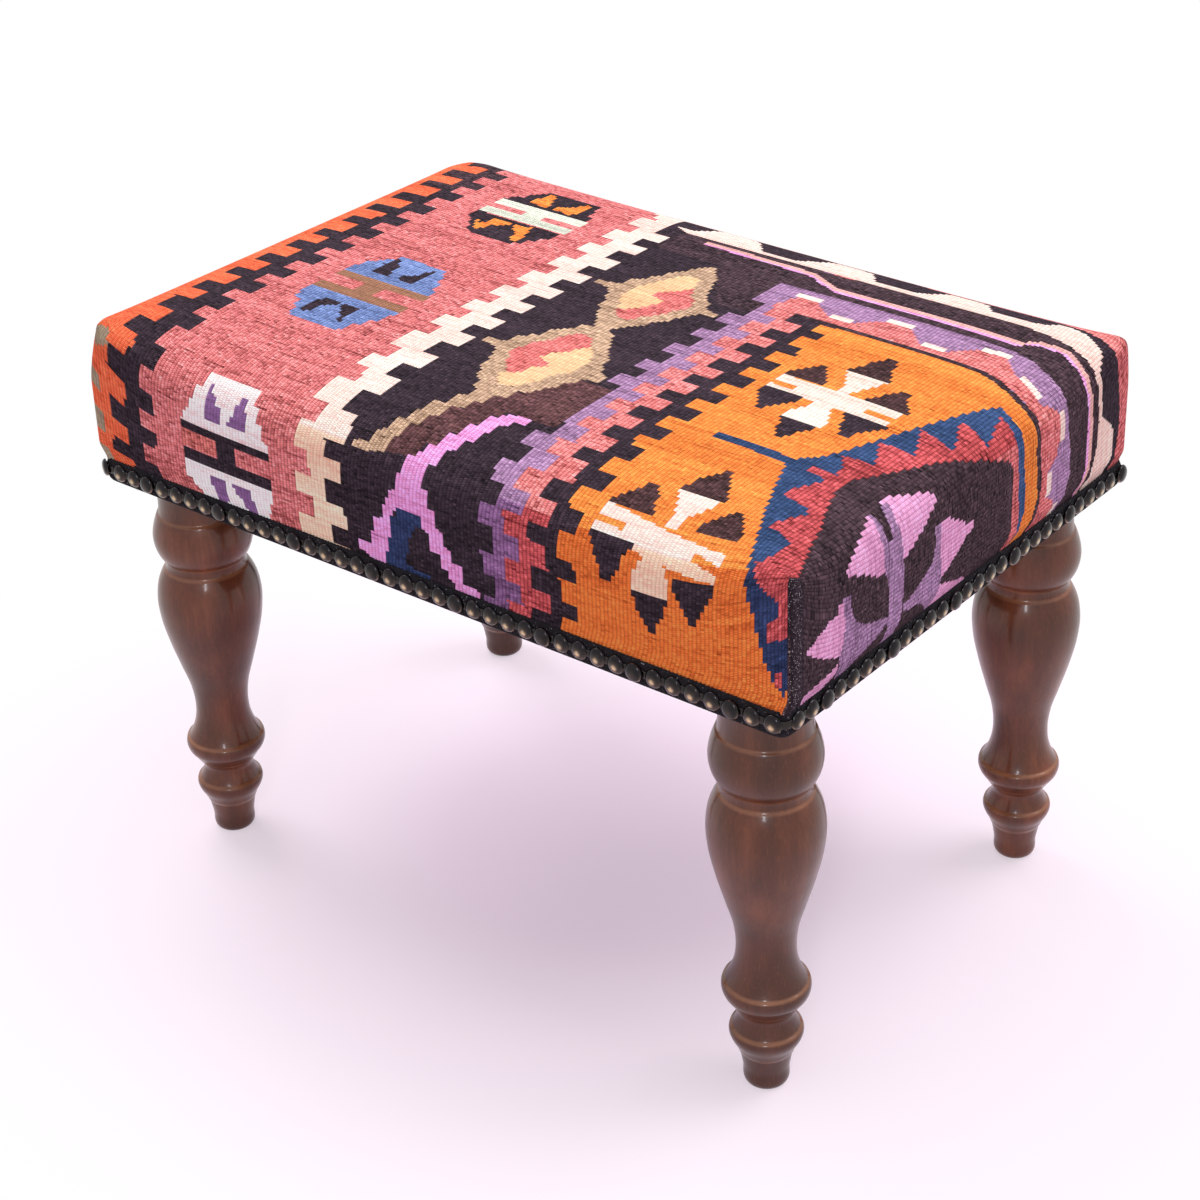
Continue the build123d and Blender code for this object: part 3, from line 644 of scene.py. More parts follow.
paint("violet", """
    215,-61 225,-65.5 245,-63.5 258,-62 275,-64 285,-67 292,-70 292,-80 285.5,-78 272,-75.5
    255,-75.5 245,-79 228,-80.5 216,-77 216,-74.5 227,-76 232,-75 232.5,-72 222,-70 215.5,-67""")
paint("lilac", """
    253,-1 257.5,-1 259,-7 263,-12 266,-17 270,-23 273,-32 255,-34 240,-33 240,-26 244,-19 248,-12
    251,-9;
    283,-6 287,-4 292,-20 292,-39 286,-38 280,-36 275.5,-32 278,-23 281,-15""")
paint("violet", """
    240,-31 255,-30.5 268,-29 276,-30 284,-35 292,-38 292,-42 284,-41 280,-45 277,-51 277,-56
    275,-63 271,-63 271,-58 269,-54 266,-48 263,-42 259,-37 250,-35 240,-36""")
paint("lilac", """
    247,-114 247.7,-118 252,-118 254,-125 257,-129 260,-134 264,-139 266,-144.5 268,-144 270,-135
    272,-128 274,-120 276,-110 262,-108 250,-109""")
paint("violet", """
    272,-74 275,-76 278,-84 281,-92 284,-100 288,-108 288,-117 276,-117 268,-113 258,-112
    246.5,-114 246,-108 256,-106 262,-102 266,-96 268,-90 270,-83""")
paint("lilac", """
    278,-117 284.5,-118 290,-130 291,-145 286,-145 283,-136 281,-126""")
print("branch on the right end")

# %% [markdown]
# ### The stripes along the back
# Behind the fields run long stripes: violet and rose with white dashes, brown-black, a thin rose
# line with a kink, and ivory leaves on black. They pass over the right edge and down the end.

# %% Stripes as bands between two running lines
def band(dye, line_p, low, high):
    """Paint between two lines, given at the same places along the cloth and joined straight."""
    lower, upper = np.interp(face_p, line_p, low), np.interp(face_p, line_p, high)
    between = (face_q >= lower) & (face_q < upper)
    dye_faces((face_p >= line_p[0]) & (face_p <= line_p[-1]) & between, dye)


run_p = [41, 60, 150, 186, 198, 206, 214, 220, 228, 242, 256, 269, 280, 292]
violet_top = [104.5, 104.5, 104.5, 104, 101.4, 98.5, 95, 92.5, 90.5, 90.5, 93.6, 94.4, 89.7, 80]
orange_top = np.array(
    [75.5, 75.5, 75.5, 75.5, 72, 68.6, 65.5, 64, 63, 62.8, 64.7, 65.5, 60, 50])
band("orange", run_p[3:], orange_top[3:] - 16, orange_top[3:])
band("brown_black", run_p[3:], orange_top[3:] - 4.2, orange_top[3:])
band("violet", run_p[:4], [76] * 4, violet_top[:4])
band("violet", run_p[3:], orange_top[3:], violet_top[3:])
wave_p = [
    55, 57, 60, 72, 76, 86, 88, 101, 105, 115, 130, 136, 144, 158, 163, 171, 187, 194, 200, 217,
    221, 229, 245, 252, 258, 272, 277, 282, 292]
wave_q = [
    78, 88, 94, 94, 90, 82, 81, 81, 86, 94, 94, 88, 80, 80, 86, 94, 95, 88, 82, 74,
    73, 82, 82, 79, 71, 70, 77, 79, 76]
band("rose_red", wave_p, np.interp(wave_p, run_p, orange_top), wave_q)
DASH_WIDTH = 4.6
for start, end, low_start, low_end in (
    (57.5, 72.5, 94, 94), (87.5, 101, 81, 81), (115, 130, 94, 94), (144.5, 158, 80, 80),
    (171, 187, 94, 94.5), (201, 217, 81.5, 73.5), (230, 245, 82, 82), (258.5, 272.5, 71, 70),
    (280, 292, 79, 75),
):
    low = np.array([low_start, low_end])
    band("ivory", [start, end], low, low + DASH_WIDTH)

dark_p = [41, 186, 198, 214, 228, 242, 256, 269, 280, 292]
dark_low = [104.5, 104, 101.4, 95, 90.5, 90.5, 93.6, 94.4, 89.7, 80]
dark_high = [131, 131, 129.5, 125.6, 120.5, 121, 123, 123, 121, 112]
band("brown_black", dark_p, dark_low, dark_high)
rose_p = [-25, 40, 50, 58, 72, 184, 187, 191, 206, 215, 228, 253, 275, 284, 292]
rose_low = np.array(
    [123.5, 121.5, 120.5, 116, 110, 110, 114, 117, 119, 114.5, 109.5, 111.5, 111, 104, 98])
band("rose", rose_p, rose_low, rose_low + 5)
band("pink", rose_p, rose_low, rose_low + 1.6)

ivory_p = [-58, -50, 186, 198, 214, 228, 240, 254, 278, 284, 292]
ivory_low = [140, 131.5, 131, 129.5, 125.6, 120.5, 121, 123, 121, 112.5, 104]
beyond = [150, 150, 149, 147, 144, 141, 141, 144, 146, 143, 136]
band("black", ivory_p, ivory_low, beyond)
leaf_p = [
    -75, -66, -60, -42, -30, -8, -2, 6, 30, 38, 48, 72, 80, 108, 115, 122, 145, 152, 176, 185, 190,
    206, 220, 228, 240, 254, 260, 269, 281, 287, 292]
leaf_q = [
    150, 150, 137, 137, 150, 150, 146, 135.5, 135.5, 141, 149, 148, 136.5, 136.5, 141, 148, 147,
    138, 138, 141, 146, 143, 136, 124.5, 124.5, 126.5, 133, 139.5, 140, 134, 118]
band("ivory", leaf_p, np.interp(leaf_p, ivory_p, ivory_low), leaf_q)
# dark wool closes the slits between the stripes, and each stripe keeps its place down to the hem
slit = dyed("orange") & (face_p > 90) & (face_q > 78)
dye_faces(slit & (face_q > 112), "brown_black")
dye_faces(slit & (face_q <= 112), "violet")
LAST_COLUMN, NEAR_ENOUGH = 286, 1.2
last_rows = np.flatnonzero(np.abs(face_p - LAST_COLUMN) < NEAR_ENOUGH)
last_rows = last_rows[np.argsort(face_q[last_rows])]
by_hem = (face_p > LAST_COLUMN + 1) & (face_q > 30)
nearest = np.searchsorted(face_q[last_rows], face_q[by_hem])
dye_of_face[by_hem] = dye_of_face[last_rows[np.minimum(nearest, len(last_rows) - 1)]]
print("stripes along the back; slits closed:", int(slit.sum()))

# %% [markdown]
# ### What the photograph does not show
# The back and left flaps are hidden. The cloth is one piece, so the back flap goes on with the
# madder band and the end of the stripes, and the left flap with the vermilion border, which has
# small olive blocks on it near the corner.

# %% Back and left flaps
paint("rose_red", """
    -75,150 -20,150 186,149 198,147 214,144 228,141 242,141 256,144 270,146 284,143 300,136
    300,240 -75,240""")
for dye, low, high in (
    ("brown_black", 168, 172), ("ivory", 186, 190), ("brown_black", 190, 206),
):
    band(dye, [-58, 226], [low, low], [high, high])
BLOCK_PITCH = 24.4
for high in np.arange(150, -140, -BLOCK_PITCH):
    paint("khaki", box_outline(-241, high - 12.5, -229, high))
paint("khaki", "-250,-162 -230,-160 -216,-150 -212,-161 -222,-175 -250,-175")
for high, low in ((-184, -191), (-198, -206), (-211, -217)):
    paint("khaki", box_outline(-250, low, -221, high))
paint("black", box_outline(226, -190, 300, -147))
paint("brown_black", box_outline(-320, -240, -262, 240))
for high in np.arange(162, -240, -BLOCK_PITCH):
    paint("vermilion", box_outline(-274, high - 12.2, -262, high))
in_corner = (face_p < -175) & (face_q > 104) & (face_q < 165)
dye_faces(dyed("black") & in_corner, "brown_black")

# painted shade: on the front flap, where the cloth turns down away from the lamps, five dyes change
# to darker copies, and so does the rose on the right end; on the gable the rose is a deeper red too
shaded_front_flap = (face_q < -152) & (face_p < 228)
for pale, shaded_copy in (
    ("violet", "violet_painted_shade"), ("rose_red", "gable_red_and_rose_shade"), ("orange", "orange_painted_shade"),
    ("navy", "navy_painted_shade"), ("ivory", "ivory_painted_shade"),
):
    dye_faces(dyed(pale) & shaded_front_flap, shaded_copy)
on_gable = (face_p > 160) & (face_p < 229) & (face_q < 50)
dye_faces(dyed("rose_red") & on_gable, "gable_red_and_rose_shade")
dye_faces(dyed("rose_red") & (face_p >= 229), "rose_red_painted_shade")
print("faces painted:", len(dye_of_face))

# %% [markdown]
# ## Yarn
# Hand-spun, hand-dyed wool is never one colour. Each weft row gets its own slight shade, groups
# of rows shift together where a new skein was started, short dark streaks run along single rows,
# and single stitches vary. Pale fibres lie thickly on the black strip beside the near corner.
# The shades are computed once for each face with a fixed seed.

# %% Shade of each stitch
SEED = 7
rng = np.random.default_rng(SEED)


def running_mean(values, width):
    """Average of each value and its neighbours over the width."""
    padded = np.pad(values, width, mode="wrap")
    return np.convolve(padded, np.ones(width) / width, mode="same")[width:-width]


ROW_COUNT, FIRST_Q = 440, -240
STREAK_COUNT, FIRST_P, STREAK_PITCH = 64, -330, 18.0
# how far the skeins drift in shade and over how many rows, and how far a single row strays
SKEIN_DRIFT, SKEIN_ROWS, ROW_STRAY = 0.16, 9, 0.045
# streaks are as deep as the dye is uneven, up to a limit, but shallow on very dark wool
VERY_DARK, DARK_STREAK, STREAK_SHARE, DEEPEST_STREAK = 0.08, 0.15, 2.2, 0.42
STREAK_FROM = 0.7
dye_table = np.array([srgb(*row[:3]) for row in DYES.values()])
base = dye_table[dye_of_face]
uneven = np.array([row[3] for row in DYES.values()])[dye_of_face]
very_dark = base.mean(1) < VERY_DARK
row_of_face = np.clip(((face_q - FIRST_Q) / ROW).astype(int), 0, ROW_COUNT - 1)
skein = running_mean(rng.normal(0, 1, ROW_COUNT * len(dye_names)), SKEIN_ROWS) * SKEIN_DRIFT
skein = skein.reshape(len(dye_names), ROW_COUNT)
single_row = rng.normal(0, ROW_STRAY, skein.shape)
stitch = rng.normal(0, 1, len(face_p)) * uneven
streaks = rng.normal(0, 1, (ROW_COUNT, STREAK_COUNT))
streak_place = (face_p - FIRST_P) / STREAK_PITCH
before = streak_place.astype(int)
after = streak_place - before
streak = streaks[row_of_face, before] * (1 - after) + streaks[row_of_face, before + 1] * after
shade = 1 + skein[dye_of_face, row_of_face] + single_row[dye_of_face, row_of_face] + stitch
uneven_streak = np.minimum(STREAK_SHARE * uneven, DEEPEST_STREAK)
streak_depth = np.where(very_dark, DARK_STREAK, uneven_streak)
shade = shade * (1 - streak_depth * np.clip(streak - STREAK_FROM, 0, 1))
# the black strip by the near corner, where pale fibres lie: beyond both of these places
END_STRIP, FRONT_STRIP = 226, -149
# a dark stitch is also a deeper one: the weaker channels fall faster
deeper = np.clip(shade, 0.2, 2)[:, None] ** (1.5 - 0.7 * base)
stitch_colour = np.clip(base * deeper, 0.002, 1)
speck = np.where((face_p > END_STRIP) & (face_q < FRONT_STRIP), 1.0, 0.0)
# how deep the painted shade in the grooves is on each face
groove_shade_strength = np.where(very_dark, 0.5, np.clip(uneven / 0.2, 0.25, 1))
print("shade from", shade.min().round(2), "to", shade.max().round(2))
print("flecked faces:", int(speck.sum()))

# %% [markdown]
# ## Mesh of the cover
# The faces become one object. The woven colours and the position in the weave are stored on the
# face corners, where the material reads them. The hem goes on under the frame as a narrow flat
# ring, as the real cloth is stapled there.

# %% Build the cover
HEM_TURN, HEM_TURN_BY_LEG = 16.0, 7.0
LEG_ZONE_X, LEG_ZONE_Y = 163, 95
ring = np.concatenate([
    cloth_index[0, FLAP_STEPS:columns - FLAP_STEPS],
    cloth_index[FLAP_STEPS + 1:rows - FLAP_STEPS, columns - 1],
    cloth_index[rows - 1, columns - FLAP_STEPS - 2:FLAP_STEPS - 1:-1],
    cloth_index[rows - FLAP_STEPS - 2:FLAP_STEPS:-1, 0],
])
flat_points = cloth_points.reshape(-1, 3)
turned_in = flat_points[ring]
by_leg = (np.abs(turned_in[:, 0]) > LEG_ZONE_X) & (np.abs(turned_in[:, 1]) > LEG_ZONE_Y)
turn = np.where(by_leg, HEM_TURN_BY_LEG, HEM_TURN)
turned_in[:, 0] = np.clip(turned_in[:, 0], turn - FRAME_X, FRAME_X - turn)
turned_in[:, 1] = np.clip(turned_in[:, 1], turn - FRAME_Y, FRAME_Y - turn)
hem_index = np.stack([len(flat_points) + np.arange(len(ring)), ring])
hem_faces = grid_faces(hem_index, wrap_columns=True)
points = np.concatenate([flat_points, turned_in])
kilim = make_mesh("kilim_cushion", *used_points(points, np.concatenate([cloth_faces, hem_faces])))

# the hem is plain brown-black wool, away from the pattern's place in the weave
hem = len(hem_faces)
hem_colour = np.tile(srgb(*DYES["brown_black"][:3]), (hem, 1))
colours = np.concatenate([stitch_colour, hem_colour])
colours = np.column_stack([colours, np.ones(len(colours))])
store(kilim, "dye", "CORNER", np.repeat(colours, 4, axis=0))
store(kilim, "speck", "CORNER", np.repeat(np.append(speck, np.zeros(hem)), 4))
store(kilim, "groove_shade_strength", "CORNER", np.repeat(np.append(groove_shade_strength, np.ones(hem)), 4))
corner_p, corner_q = (
    np.stack([grid[:-1, :-1], grid[:-1, 1:], grid[1:, 1:], grid[1:, :-1]], -1)[in_cross].ravel()
    for grid in (P, Q))
weave = np.stack([corner_p / RIB, corner_q / ROW, np.zeros(len(corner_p))], -1)
store(kilim, "weave", "CORNER", np.concatenate([weave, np.zeros((4 * hem, 3))]))
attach(kilim, "root")
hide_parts("kilim_cover", "wadding", "foam_pad")
print("cover:", len(kilim.data.polygons), "faces")

# %% [markdown]
# ## Materials
# A material is a small graph of nodes. This helper keeps the graphs short to write: it adds a
# node, sets its inputs by name, and links those that are given as another node's output.

# %% Node helper
BLACK, WHITE = (0, 0, 0), (1, 1, 1)


class Finish:
    """A graph of nodes under construction, with the shader that it ends in."""

    def __init__(self, name, owner=None, shader="Principled BSDF"):
        self.owner = owner or bpy.data.materials.new(name)
        self.owner.use_nodes = True
        self.tree = self.owner.node_tree
        self.shader = self.tree.nodes[shader]
        self.place = self.add("ShaderNodeTexCoord").outputs["Object"]

    def add(self, kind, settings=None, **inputs):
        """A new node with its settings, and its inputs as numbers or as another node's output."""
        node = self.tree.nodes.new(kind)
        for key, value in (settings or {}).items():
            setattr(node, key, value)
        self.feed(node, **inputs)
        return node

    def feed(self, node, **inputs):
        """Fill inputs by name, or by number as i0, i1 and so on."""
        for key, value in inputs.items():
            numbered = key[0] == "i" and key[1:].isdigit()
            socket = node.inputs[int(key[1:]) if numbered else key.replace("_", " ")]
            if isinstance(value, bpy.types.NodeSocket):
                self.tree.links.new(value, socket)
            else:
                socket.default_value = value

    def attribute(self, name, output="Fac"):
        """What the mesh stores under a name."""
        return self.add("ShaderNodeAttribute", {"attribute_name": name}).outputs[output]

    def math(self, operation, first, second=0.0, third=0.0):
        settings = {"operation": operation}
        return self.add("ShaderNodeMath", settings, i0=first, i1=second, i2=third).outputs[0]

    def times(self, first, second, plus=None):
        """The product of two numbers, with a third one added where it is given."""
        if plus is None:
            return self.math("MULTIPLY", first, second)
        return self.math("MULTIPLY_ADD", first, second, plus)

    def clamp(self, value):
        return self.add("ShaderNodeClamp", Value=value).outputs[0]

    def noise(self, vector, scale, detail=3.0, roughness=0.55):
        return self.add("ShaderNodeTexNoise", Vector=vector, Scale=scale, Detail=detail,
                        Roughness=roughness).outputs["Fac"]

    def ramp(self, factor, *stops):
        """Colours that run into each other: each stop is its place from 0 to 1 and its colour."""
        node = self.add("ShaderNodeValToRGB", Fac=factor)
        elements = node.color_ramp.elements
        while len(elements) < len(stops):
            elements.new(0.5)
        for element, (place, colour) in zip(elements, stops):
            element.position = place
            element.color = (*colour, 1)
        return node.outputs["Color"]

    def mix(self, factor, first, second, blend="MIX"):
        """A mix of two colours, each given by three numbers or as an output."""
        first, second = (colour if isinstance(colour, bpy.types.NodeSocket) else (*colour, 1)
                         for colour in (first, second))
        settings = {"data_type": "RGBA", "blend_type": blend, "clamp_result": True}
        return self.add("ShaderNodeMix", settings, i0=factor, i6=first, i7=second).outputs[2]

    def bump(self, height, strength, distance):
        return self.add("ShaderNodeBump", Height=height, Strength=strength,
                        Distance=distance).outputs[0]

    def seen(self):
        """1 for what the camera sees, directly, mirrored or through glass, and 0 for the rest."""
        rays = self.add("ShaderNodeLightPath").outputs
        mirrored = self.math("MAXIMUM", rays["Is Glossy Ray"], rays["Is Transmission Ray"])
        return self.math("MAXIMUM", rays["Is Camera Ray"], mirrored)


def dress(piece, finish):
    """Give a piece its material."""
    piece.data.materials.clear()
    piece.data.materials.append(finish.owner)


print("node helper ready")

# %% [markdown]
# ### Wool
# The kilim's colours come from its faces. The shader adds what is smaller than a face: the round
# rib over each warp thread, the stitches along it, set half a row off from rib to rib, painted
# shade in the grooves between them and a painted highlight on their crowns, a soft fuzz and a few
# pale fibres. Wool is matt.

# %% The wool of the kilim
wool = Finish("kilim_wool")


def ridges(place):
    """Round ridges side by side, one to each whole number."""
    return wool.math("ABSOLUTE", wool.math("SINE", wool.times(place, np.pi)))


dye = wool.attribute("dye", "Color")
split = wool.add("ShaderNodeSeparateXYZ", Vector=wool.attribute("weave", "Vector"))
along_rib, along_row = split.outputs[0], split.outputs[1]
wander = wool.noise(wool.place, 260, 2)
drift = wool.noise(wool.place, 70, 2)
along_rib = wool.times(drift, 0.5, along_rib)
rib_round = wool.math("POWER", ridges(along_rib), 0.65)
odd_rib = wool.math("MODULO", wool.math("FLOOR", wool.math("ADD", along_rib, 1000)), 2)
along_row = wool.times(wander, 1.2, along_row)
row_place = wool.times(odd_rib, 0.5, along_row)
bead = wool.times(rib_round, wool.times(ridges(row_place), 0.65, 0.35))
fuzz = wool.noise(wool.place, 2200, 2, 0.7)
lit = wool.times(fuzz, 0.8, wool.math("SUBTRACT", bead, 0.4))
groove_shade_strength = wool.attribute("groove_shade_strength")
# painted shade: the colour darkens in the grooves between ribs and stitches, more on the more
# uneven dyes
groove_shade_share = wool.math("SUBTRACT", 1.0, wool.clamp(lit))
groove_shade_share = wool.times(groove_shade_share, wool.times(groove_shade_strength, 0.55, 0.4))
value = wool.add("ShaderNodeRGBToBW", Color=dye).outputs[0]
groove_shade_level = wool.mix(value, np.full(3, 0.4), (0.86, 0.8, 0.78))
groove_shade_tint = wool.mix(wool.times(value, -0.4, 0.35), groove_shade_level, dye)
groove = wool.mix(1.0, dye, groove_shade_tint, "MULTIPLY")
# painted highlight: the crowns of the stitches are brighter than the dye
crown_highlight = wool.mix(1.0, dye, np.full(3, 1.42), "MULTIPLY")
shaded = wool.mix(groove_shade_share, crown_highlight, groove)
pale = wool.attribute("speck")
lint_limit = wool.times(pale, 0.17, -0.82)
lint = wool.math("ADD", wool.noise(wool.place, 1300, 1), lint_limit)
lint = wool.clamp(wool.times(lint, 25))
shaded = wool.mix(wool.times(lint, 0.7), shaded, srgb(222, 208, 206))
height = wool.times(fuzz, 0.35, bead)
wool.feed(wool.shader, Base_Color=shaded, Roughness=0.95, Specular_IOR_Level=0.1,
          Normal=wool.bump(height, 0.8, 0.0008))
dress(kilim, wool)
print("wool:", len(wool.tree.nodes), "nodes")

# %% [markdown]
# ## Turned legs
# A leg comes off the lathe, so its outline is one curve turned about an axis. The outline is
# written as runs with semicolons between them, each ending at a crisp step where the turner's tool
# changed. A smooth curve goes through the points of each run. Pale lines just above the steps are
# marked on the points: the finish is scuffed thin there, and they carry a painted highlight too.

# %% Leg profile
LEG_HEIGHT, LEG_RADIUS = 233.0, 28.9
LEG_X, LEG_Y = 189.9, 121.4
# each run: shares of the height and of the widest radius, from the floor up
LEG_RUNS = """
    0,0.333 0.003,0.360 0.043,0.405 0.086,0.471;
    0.087,0.488 0.103,0.540 0.120,0.616 0.136,0.647 0.146,0.626;
    0.147,0.595 0.163,0.526 0.185,0.483 0.203,0.550;
    0.204,0.567 0.221,0.657 0.238,0.747 0.255,0.772 0.266,0.747;
    0.267,0.716 0.288,0.623 0.322,0.540 0.358,0.517 0.408,0.557 0.476,0.709
    0.545,0.865 0.614,0.979 0.664,1.000 0.715,0.920 0.742,0.806;
    0.744,0.782 0.756,0.770 0.767,0.782;
    0.768,0.795 0.798,0.917 0.828,0.952 0.858,0.913 0.887,0.827;
    0.888,0.803 0.920,0.782 0.953,0.803;
    0.955,0.830 0.978,0.830 1,0.830"""
RING_STEP = 1.3
# just above each step lies a pale line, of scuffed finish and painted highlight, over about half a
# millimetre
PALE_EDGE_ABOVE, PALE_EDGE_OVER = 0.2, 0.55


def curve_through(points, step):
    """Points a step apart on a smooth curve: a cubic on each stretch, sloped like the chords
    beside it."""
    walk = np.concatenate([[0], np.cumsum(np.linalg.norm(np.diff(points, axis=0), axis=1))])
    slope = np.gradient(points, walk, axis=0, edge_order=2)
    at = np.linspace(0, walk[-1], int(walk[-1] / step) + 2)
    left = np.clip(np.searchsorted(walk, at, side="right") - 1, 0, len(walk) - 2)
    span = (walk[left + 1] - walk[left])[:, None]
    t = (at - walk[left])[:, None] / span
    out = (1 + 2 * t) * (1 - t) ** 2 * points[left] + t * (1 - t) ** 2 * span * slope[left]
    return out + t**2 * (3 - 2 * t) * points[left + 1] + t**2 * (t - 1) * span * slope[left + 1]


def leg_profile():
    """Radius, height and pale edge line (scuffed finish and painted highlight) of the leg's
    outline, from its pole on the floor to the top one.
    """
    size = np.array([LEG_HEIGHT, LEG_RADIUS])
    runs = [curve_through(pairs(run) * size, RING_STEP) for run in LEG_RUNS.split(";")]
    line = np.concatenate(runs)[:, ::-1]
    joints = np.array([run[-1, 0] for run in runs[:-1]])
    wear_and_highlight = np.exp(-((line[:, 1:] - joints - PALE_EDGE_ABOVE) / PALE_EDGE_OVER) ** 2).max(1)
    poles = np.array([[0.0, 0.0], [0.0, LEG_HEIGHT]])
    outline = np.concatenate([poles[:1], line, poles[1:]])
    return outline, np.concatenate([[0], wear_and_highlight, [0]])


def lathe(outline, segments):
    """Points and faces of a turned form: each radius and height becomes a ring, and the two ends
    are single poles."""
    turn = np.linspace(0, 2 * np.pi, segments, endpoint=False)
    rings = outline[1:-1]
    x, y = rings[:, :1] * np.cos(turn), rings[:, :1] * np.sin(turn)
    body = np.stack([x, y, rings[:, 1:] + 0 * x], -1).reshape(-1, 3)
    poles = np.array([[0, 0, outline[0, 1]], [0, 0, outline[-1, 1]]])
    index = np.arange(len(body)).reshape(len(rings), segments)
    low, top = len(body), len(body) + 1
    first, last = index[0], index[-1]
    even, odd = np.arange(0, segments, 2), np.arange(1, segments, 2)
    after = (even + 2) % segments
    foot = np.stack([np.full(len(even), low), first[after], first[odd], first[even]], -1)
    head = np.stack([np.full(len(even), top), last[even], last[odd], last[after]], -1)
    around = grid_faces(index, wrap_columns=True)
    return np.concatenate([body, poles]), np.concatenate([around, foot, head])


LEG_SEGMENTS = 96
outline, wear_and_highlight = leg_profile()
leg_points, leg_faces = lathe(outline, LEG_SEGMENTS)
leg_wear_and_highlight = np.concatenate([np.repeat(wear_and_highlight[1:-1], LEG_SEGMENTS), [0, 0]])
legs = []
for side_y, sign_y in (("front", -1), ("rear", 1)):
    for side_x, sign_x in (("left", -1), ("right", 1)):
        place = np.array([sign_x * LEG_X, sign_y * LEG_Y, 0])
        leg = make_mesh(f"turned_leg_{side_y}_{side_x}", leg_points + place, leg_faces)
        store(leg, "wear_and_highlight", "POINT", leg_wear_and_highlight)
        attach(leg, "root")
        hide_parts(f"leg_{side_y}_{side_x}")
        legs.append(leg)
print("rings in a leg:", len(outline), "faces:", len(leg_faces))

# %% [markdown]
# ### Walnut finish
# The legs are stained dark walnut under a satin lacquer. Grain and short pores run up the leg,
# so the noise that makes them is stretched along Z. On the wide parts the lathe cuts across the
# grain and shows warm flecks. The pale edge lines from the mesh turn to a paler orange brown: the
# finish is scuffed there, and the line is a painted highlight as well.

# %% The wood of the legs
walnut = Finish("walnut")
edge_wear_and_highlight = walnut.attribute("wear_and_highlight")
stretched = walnut.add("ShaderNodeMapping", Vector=walnut.place, Scale=(1, 1, 0.09)).outputs[0]
broad = walnut.noise(stretched, 55, 3)
fine = walnut.noise(stretched, 520, 3, 0.65)
pores = walnut.noise(stretched, 1500, 2, 0.6)
cloudy = walnut.noise(walnut.place, 14, 2)
grain = walnut.times(fine, 0.25, walnut.times(broad, 0.75))
tone = walnut.ramp(
    grain, (0.32, srgb(72, 33, 19)), (0.5, srgb(98, 48, 29)), (0.66, srgb(124, 66, 41)))
shadowed = walnut.ramp(cloudy, (0.42, BLACK), (0.62, (0.7, 0.7, 0.7)))
tone = walnut.mix(shadowed, tone, srgb(58, 27, 15))
flecks = walnut.ramp(pores, (0.60, BLACK), (0.70, WHITE))
tone = walnut.mix(walnut.times(flecks, 0.2), tone, srgb(158, 90, 46))
# painted highlight and scuffed finish: the marked edge lines turn paler
rubbed_and_highlight = walnut.times(edge_wear_and_highlight, walnut.times(broad, 0.8, 0.1))
tone = walnut.mix(rubbed_and_highlight, tone, srgb(168, 112, 82))
walnut.feed(walnut.shader, Base_Color=tone, Roughness=0.32, Specular_IOR_Level=0.25,
            Coat_Weight=0.4, Coat_Roughness=0.12, Normal=walnut.bump(fine, 0.05, 0.0004))
for leg in legs:
    dress(leg, walnut)
print("walnut:", len(walnut.tree.nodes), "nodes")

# %% [markdown]
# ## Braid
# A narrow black gimp braid is glued over the cut edge of the kilim. It runs round the stool on a
# rectangle with rounded corners. One helper gives the points of such a path with their outward
# direction, and the braid, the metal strip and the studs all use it. Two rows of small twisted
# loops make the braid's relief, and they scallop its upper edge.

# %% Path round the stool
CORNER_POWER = 5.0


def border_path(reach_x, reach_y, corner, distance):
    """Places and outward directions on a rectangle with squarish corners |x|^n + |y|^n =
    corner^n, a distance along from its front left corner."""
    a, b, turn = reach_x - corner, reach_y - corner, np.pi / 2 * corner
    knots = np.cumsum([0, 2 * a, turn, 2 * b, turn, 2 * a, turn, 2 * b, turn])
    distance = np.mod(distance, knots[-1])
    x = np.interp(distance, knots, [-a, a, a, a, a, -a, -a, -a, -a])
    y = np.interp(distance, knots, [-b, -b, -b, b, b, b, b, -b, -b])
    heading = np.radians(np.interp(distance, knots, [0, 0, 90, 90, 180, 180, 270, 270, 360]))
    aim = np.stack([np.sin(heading), -np.cos(heading), np.zeros_like(heading)], -1)
    stretch = (np.abs(aim) ** CORNER_POWER).sum(-1, keepdims=True) ** (-1 / CORNER_POWER)
    outward = np.sign(aim) * np.abs(aim * stretch) ** (CORNER_POWER - 1)
    outward = outward / np.linalg.norm(outward, axis=-1, keepdims=True)
    return np.stack([x, y, np.zeros_like(x)], -1) + corner * stretch * aim, outward


def border_length(reach_x, reach_y, corner):
    """Length of the rounded rectangle."""
    return 4 * (reach_x + reach_y - 2 * corner) + 2 * np.pi * corner


BRAID_X, BRAID_Y, BRAID_CORNER = 223.75, 155.25, 12.25
BRAID_LOW, BRAID_HIGH = 229.5, 243.0
LOOP_PITCH, POINTS_IN_LOOP, POINTS_ACROSS = 2.2, 5, 13
SCALLOP = 0.45
braid_length = border_length(BRAID_X, BRAID_Y, BRAID_CORNER)
loops = round(braid_length / LOOP_PITCH)
along = np.linspace(0, braid_length, loops * POINTS_IN_LOOP, endpoint=False)
path, outward = border_path(BRAID_X, BRAID_Y, BRAID_CORNER, along)
phase = along / braid_length * loops * np.pi
across = np.linspace(-1, 1, POINTS_ACROSS)[:, None]
twist = np.abs(np.sin(phase + across * 2.2))
crown = np.sqrt(1 - across**4 * 0.98)
two_rows = np.abs(np.sin(across * np.pi * 0.98))
thick = crown * (0.85 + 0.45 * twist * two_rows + 0.2 * twist)
middle, half = (BRAID_LOW + BRAID_HIGH) / 2, (BRAID_HIGH - BRAID_LOW) / 2
rise = middle + across * half - np.where(across > 0.6, SCALLOP * np.abs(np.sin(phase)), 0)
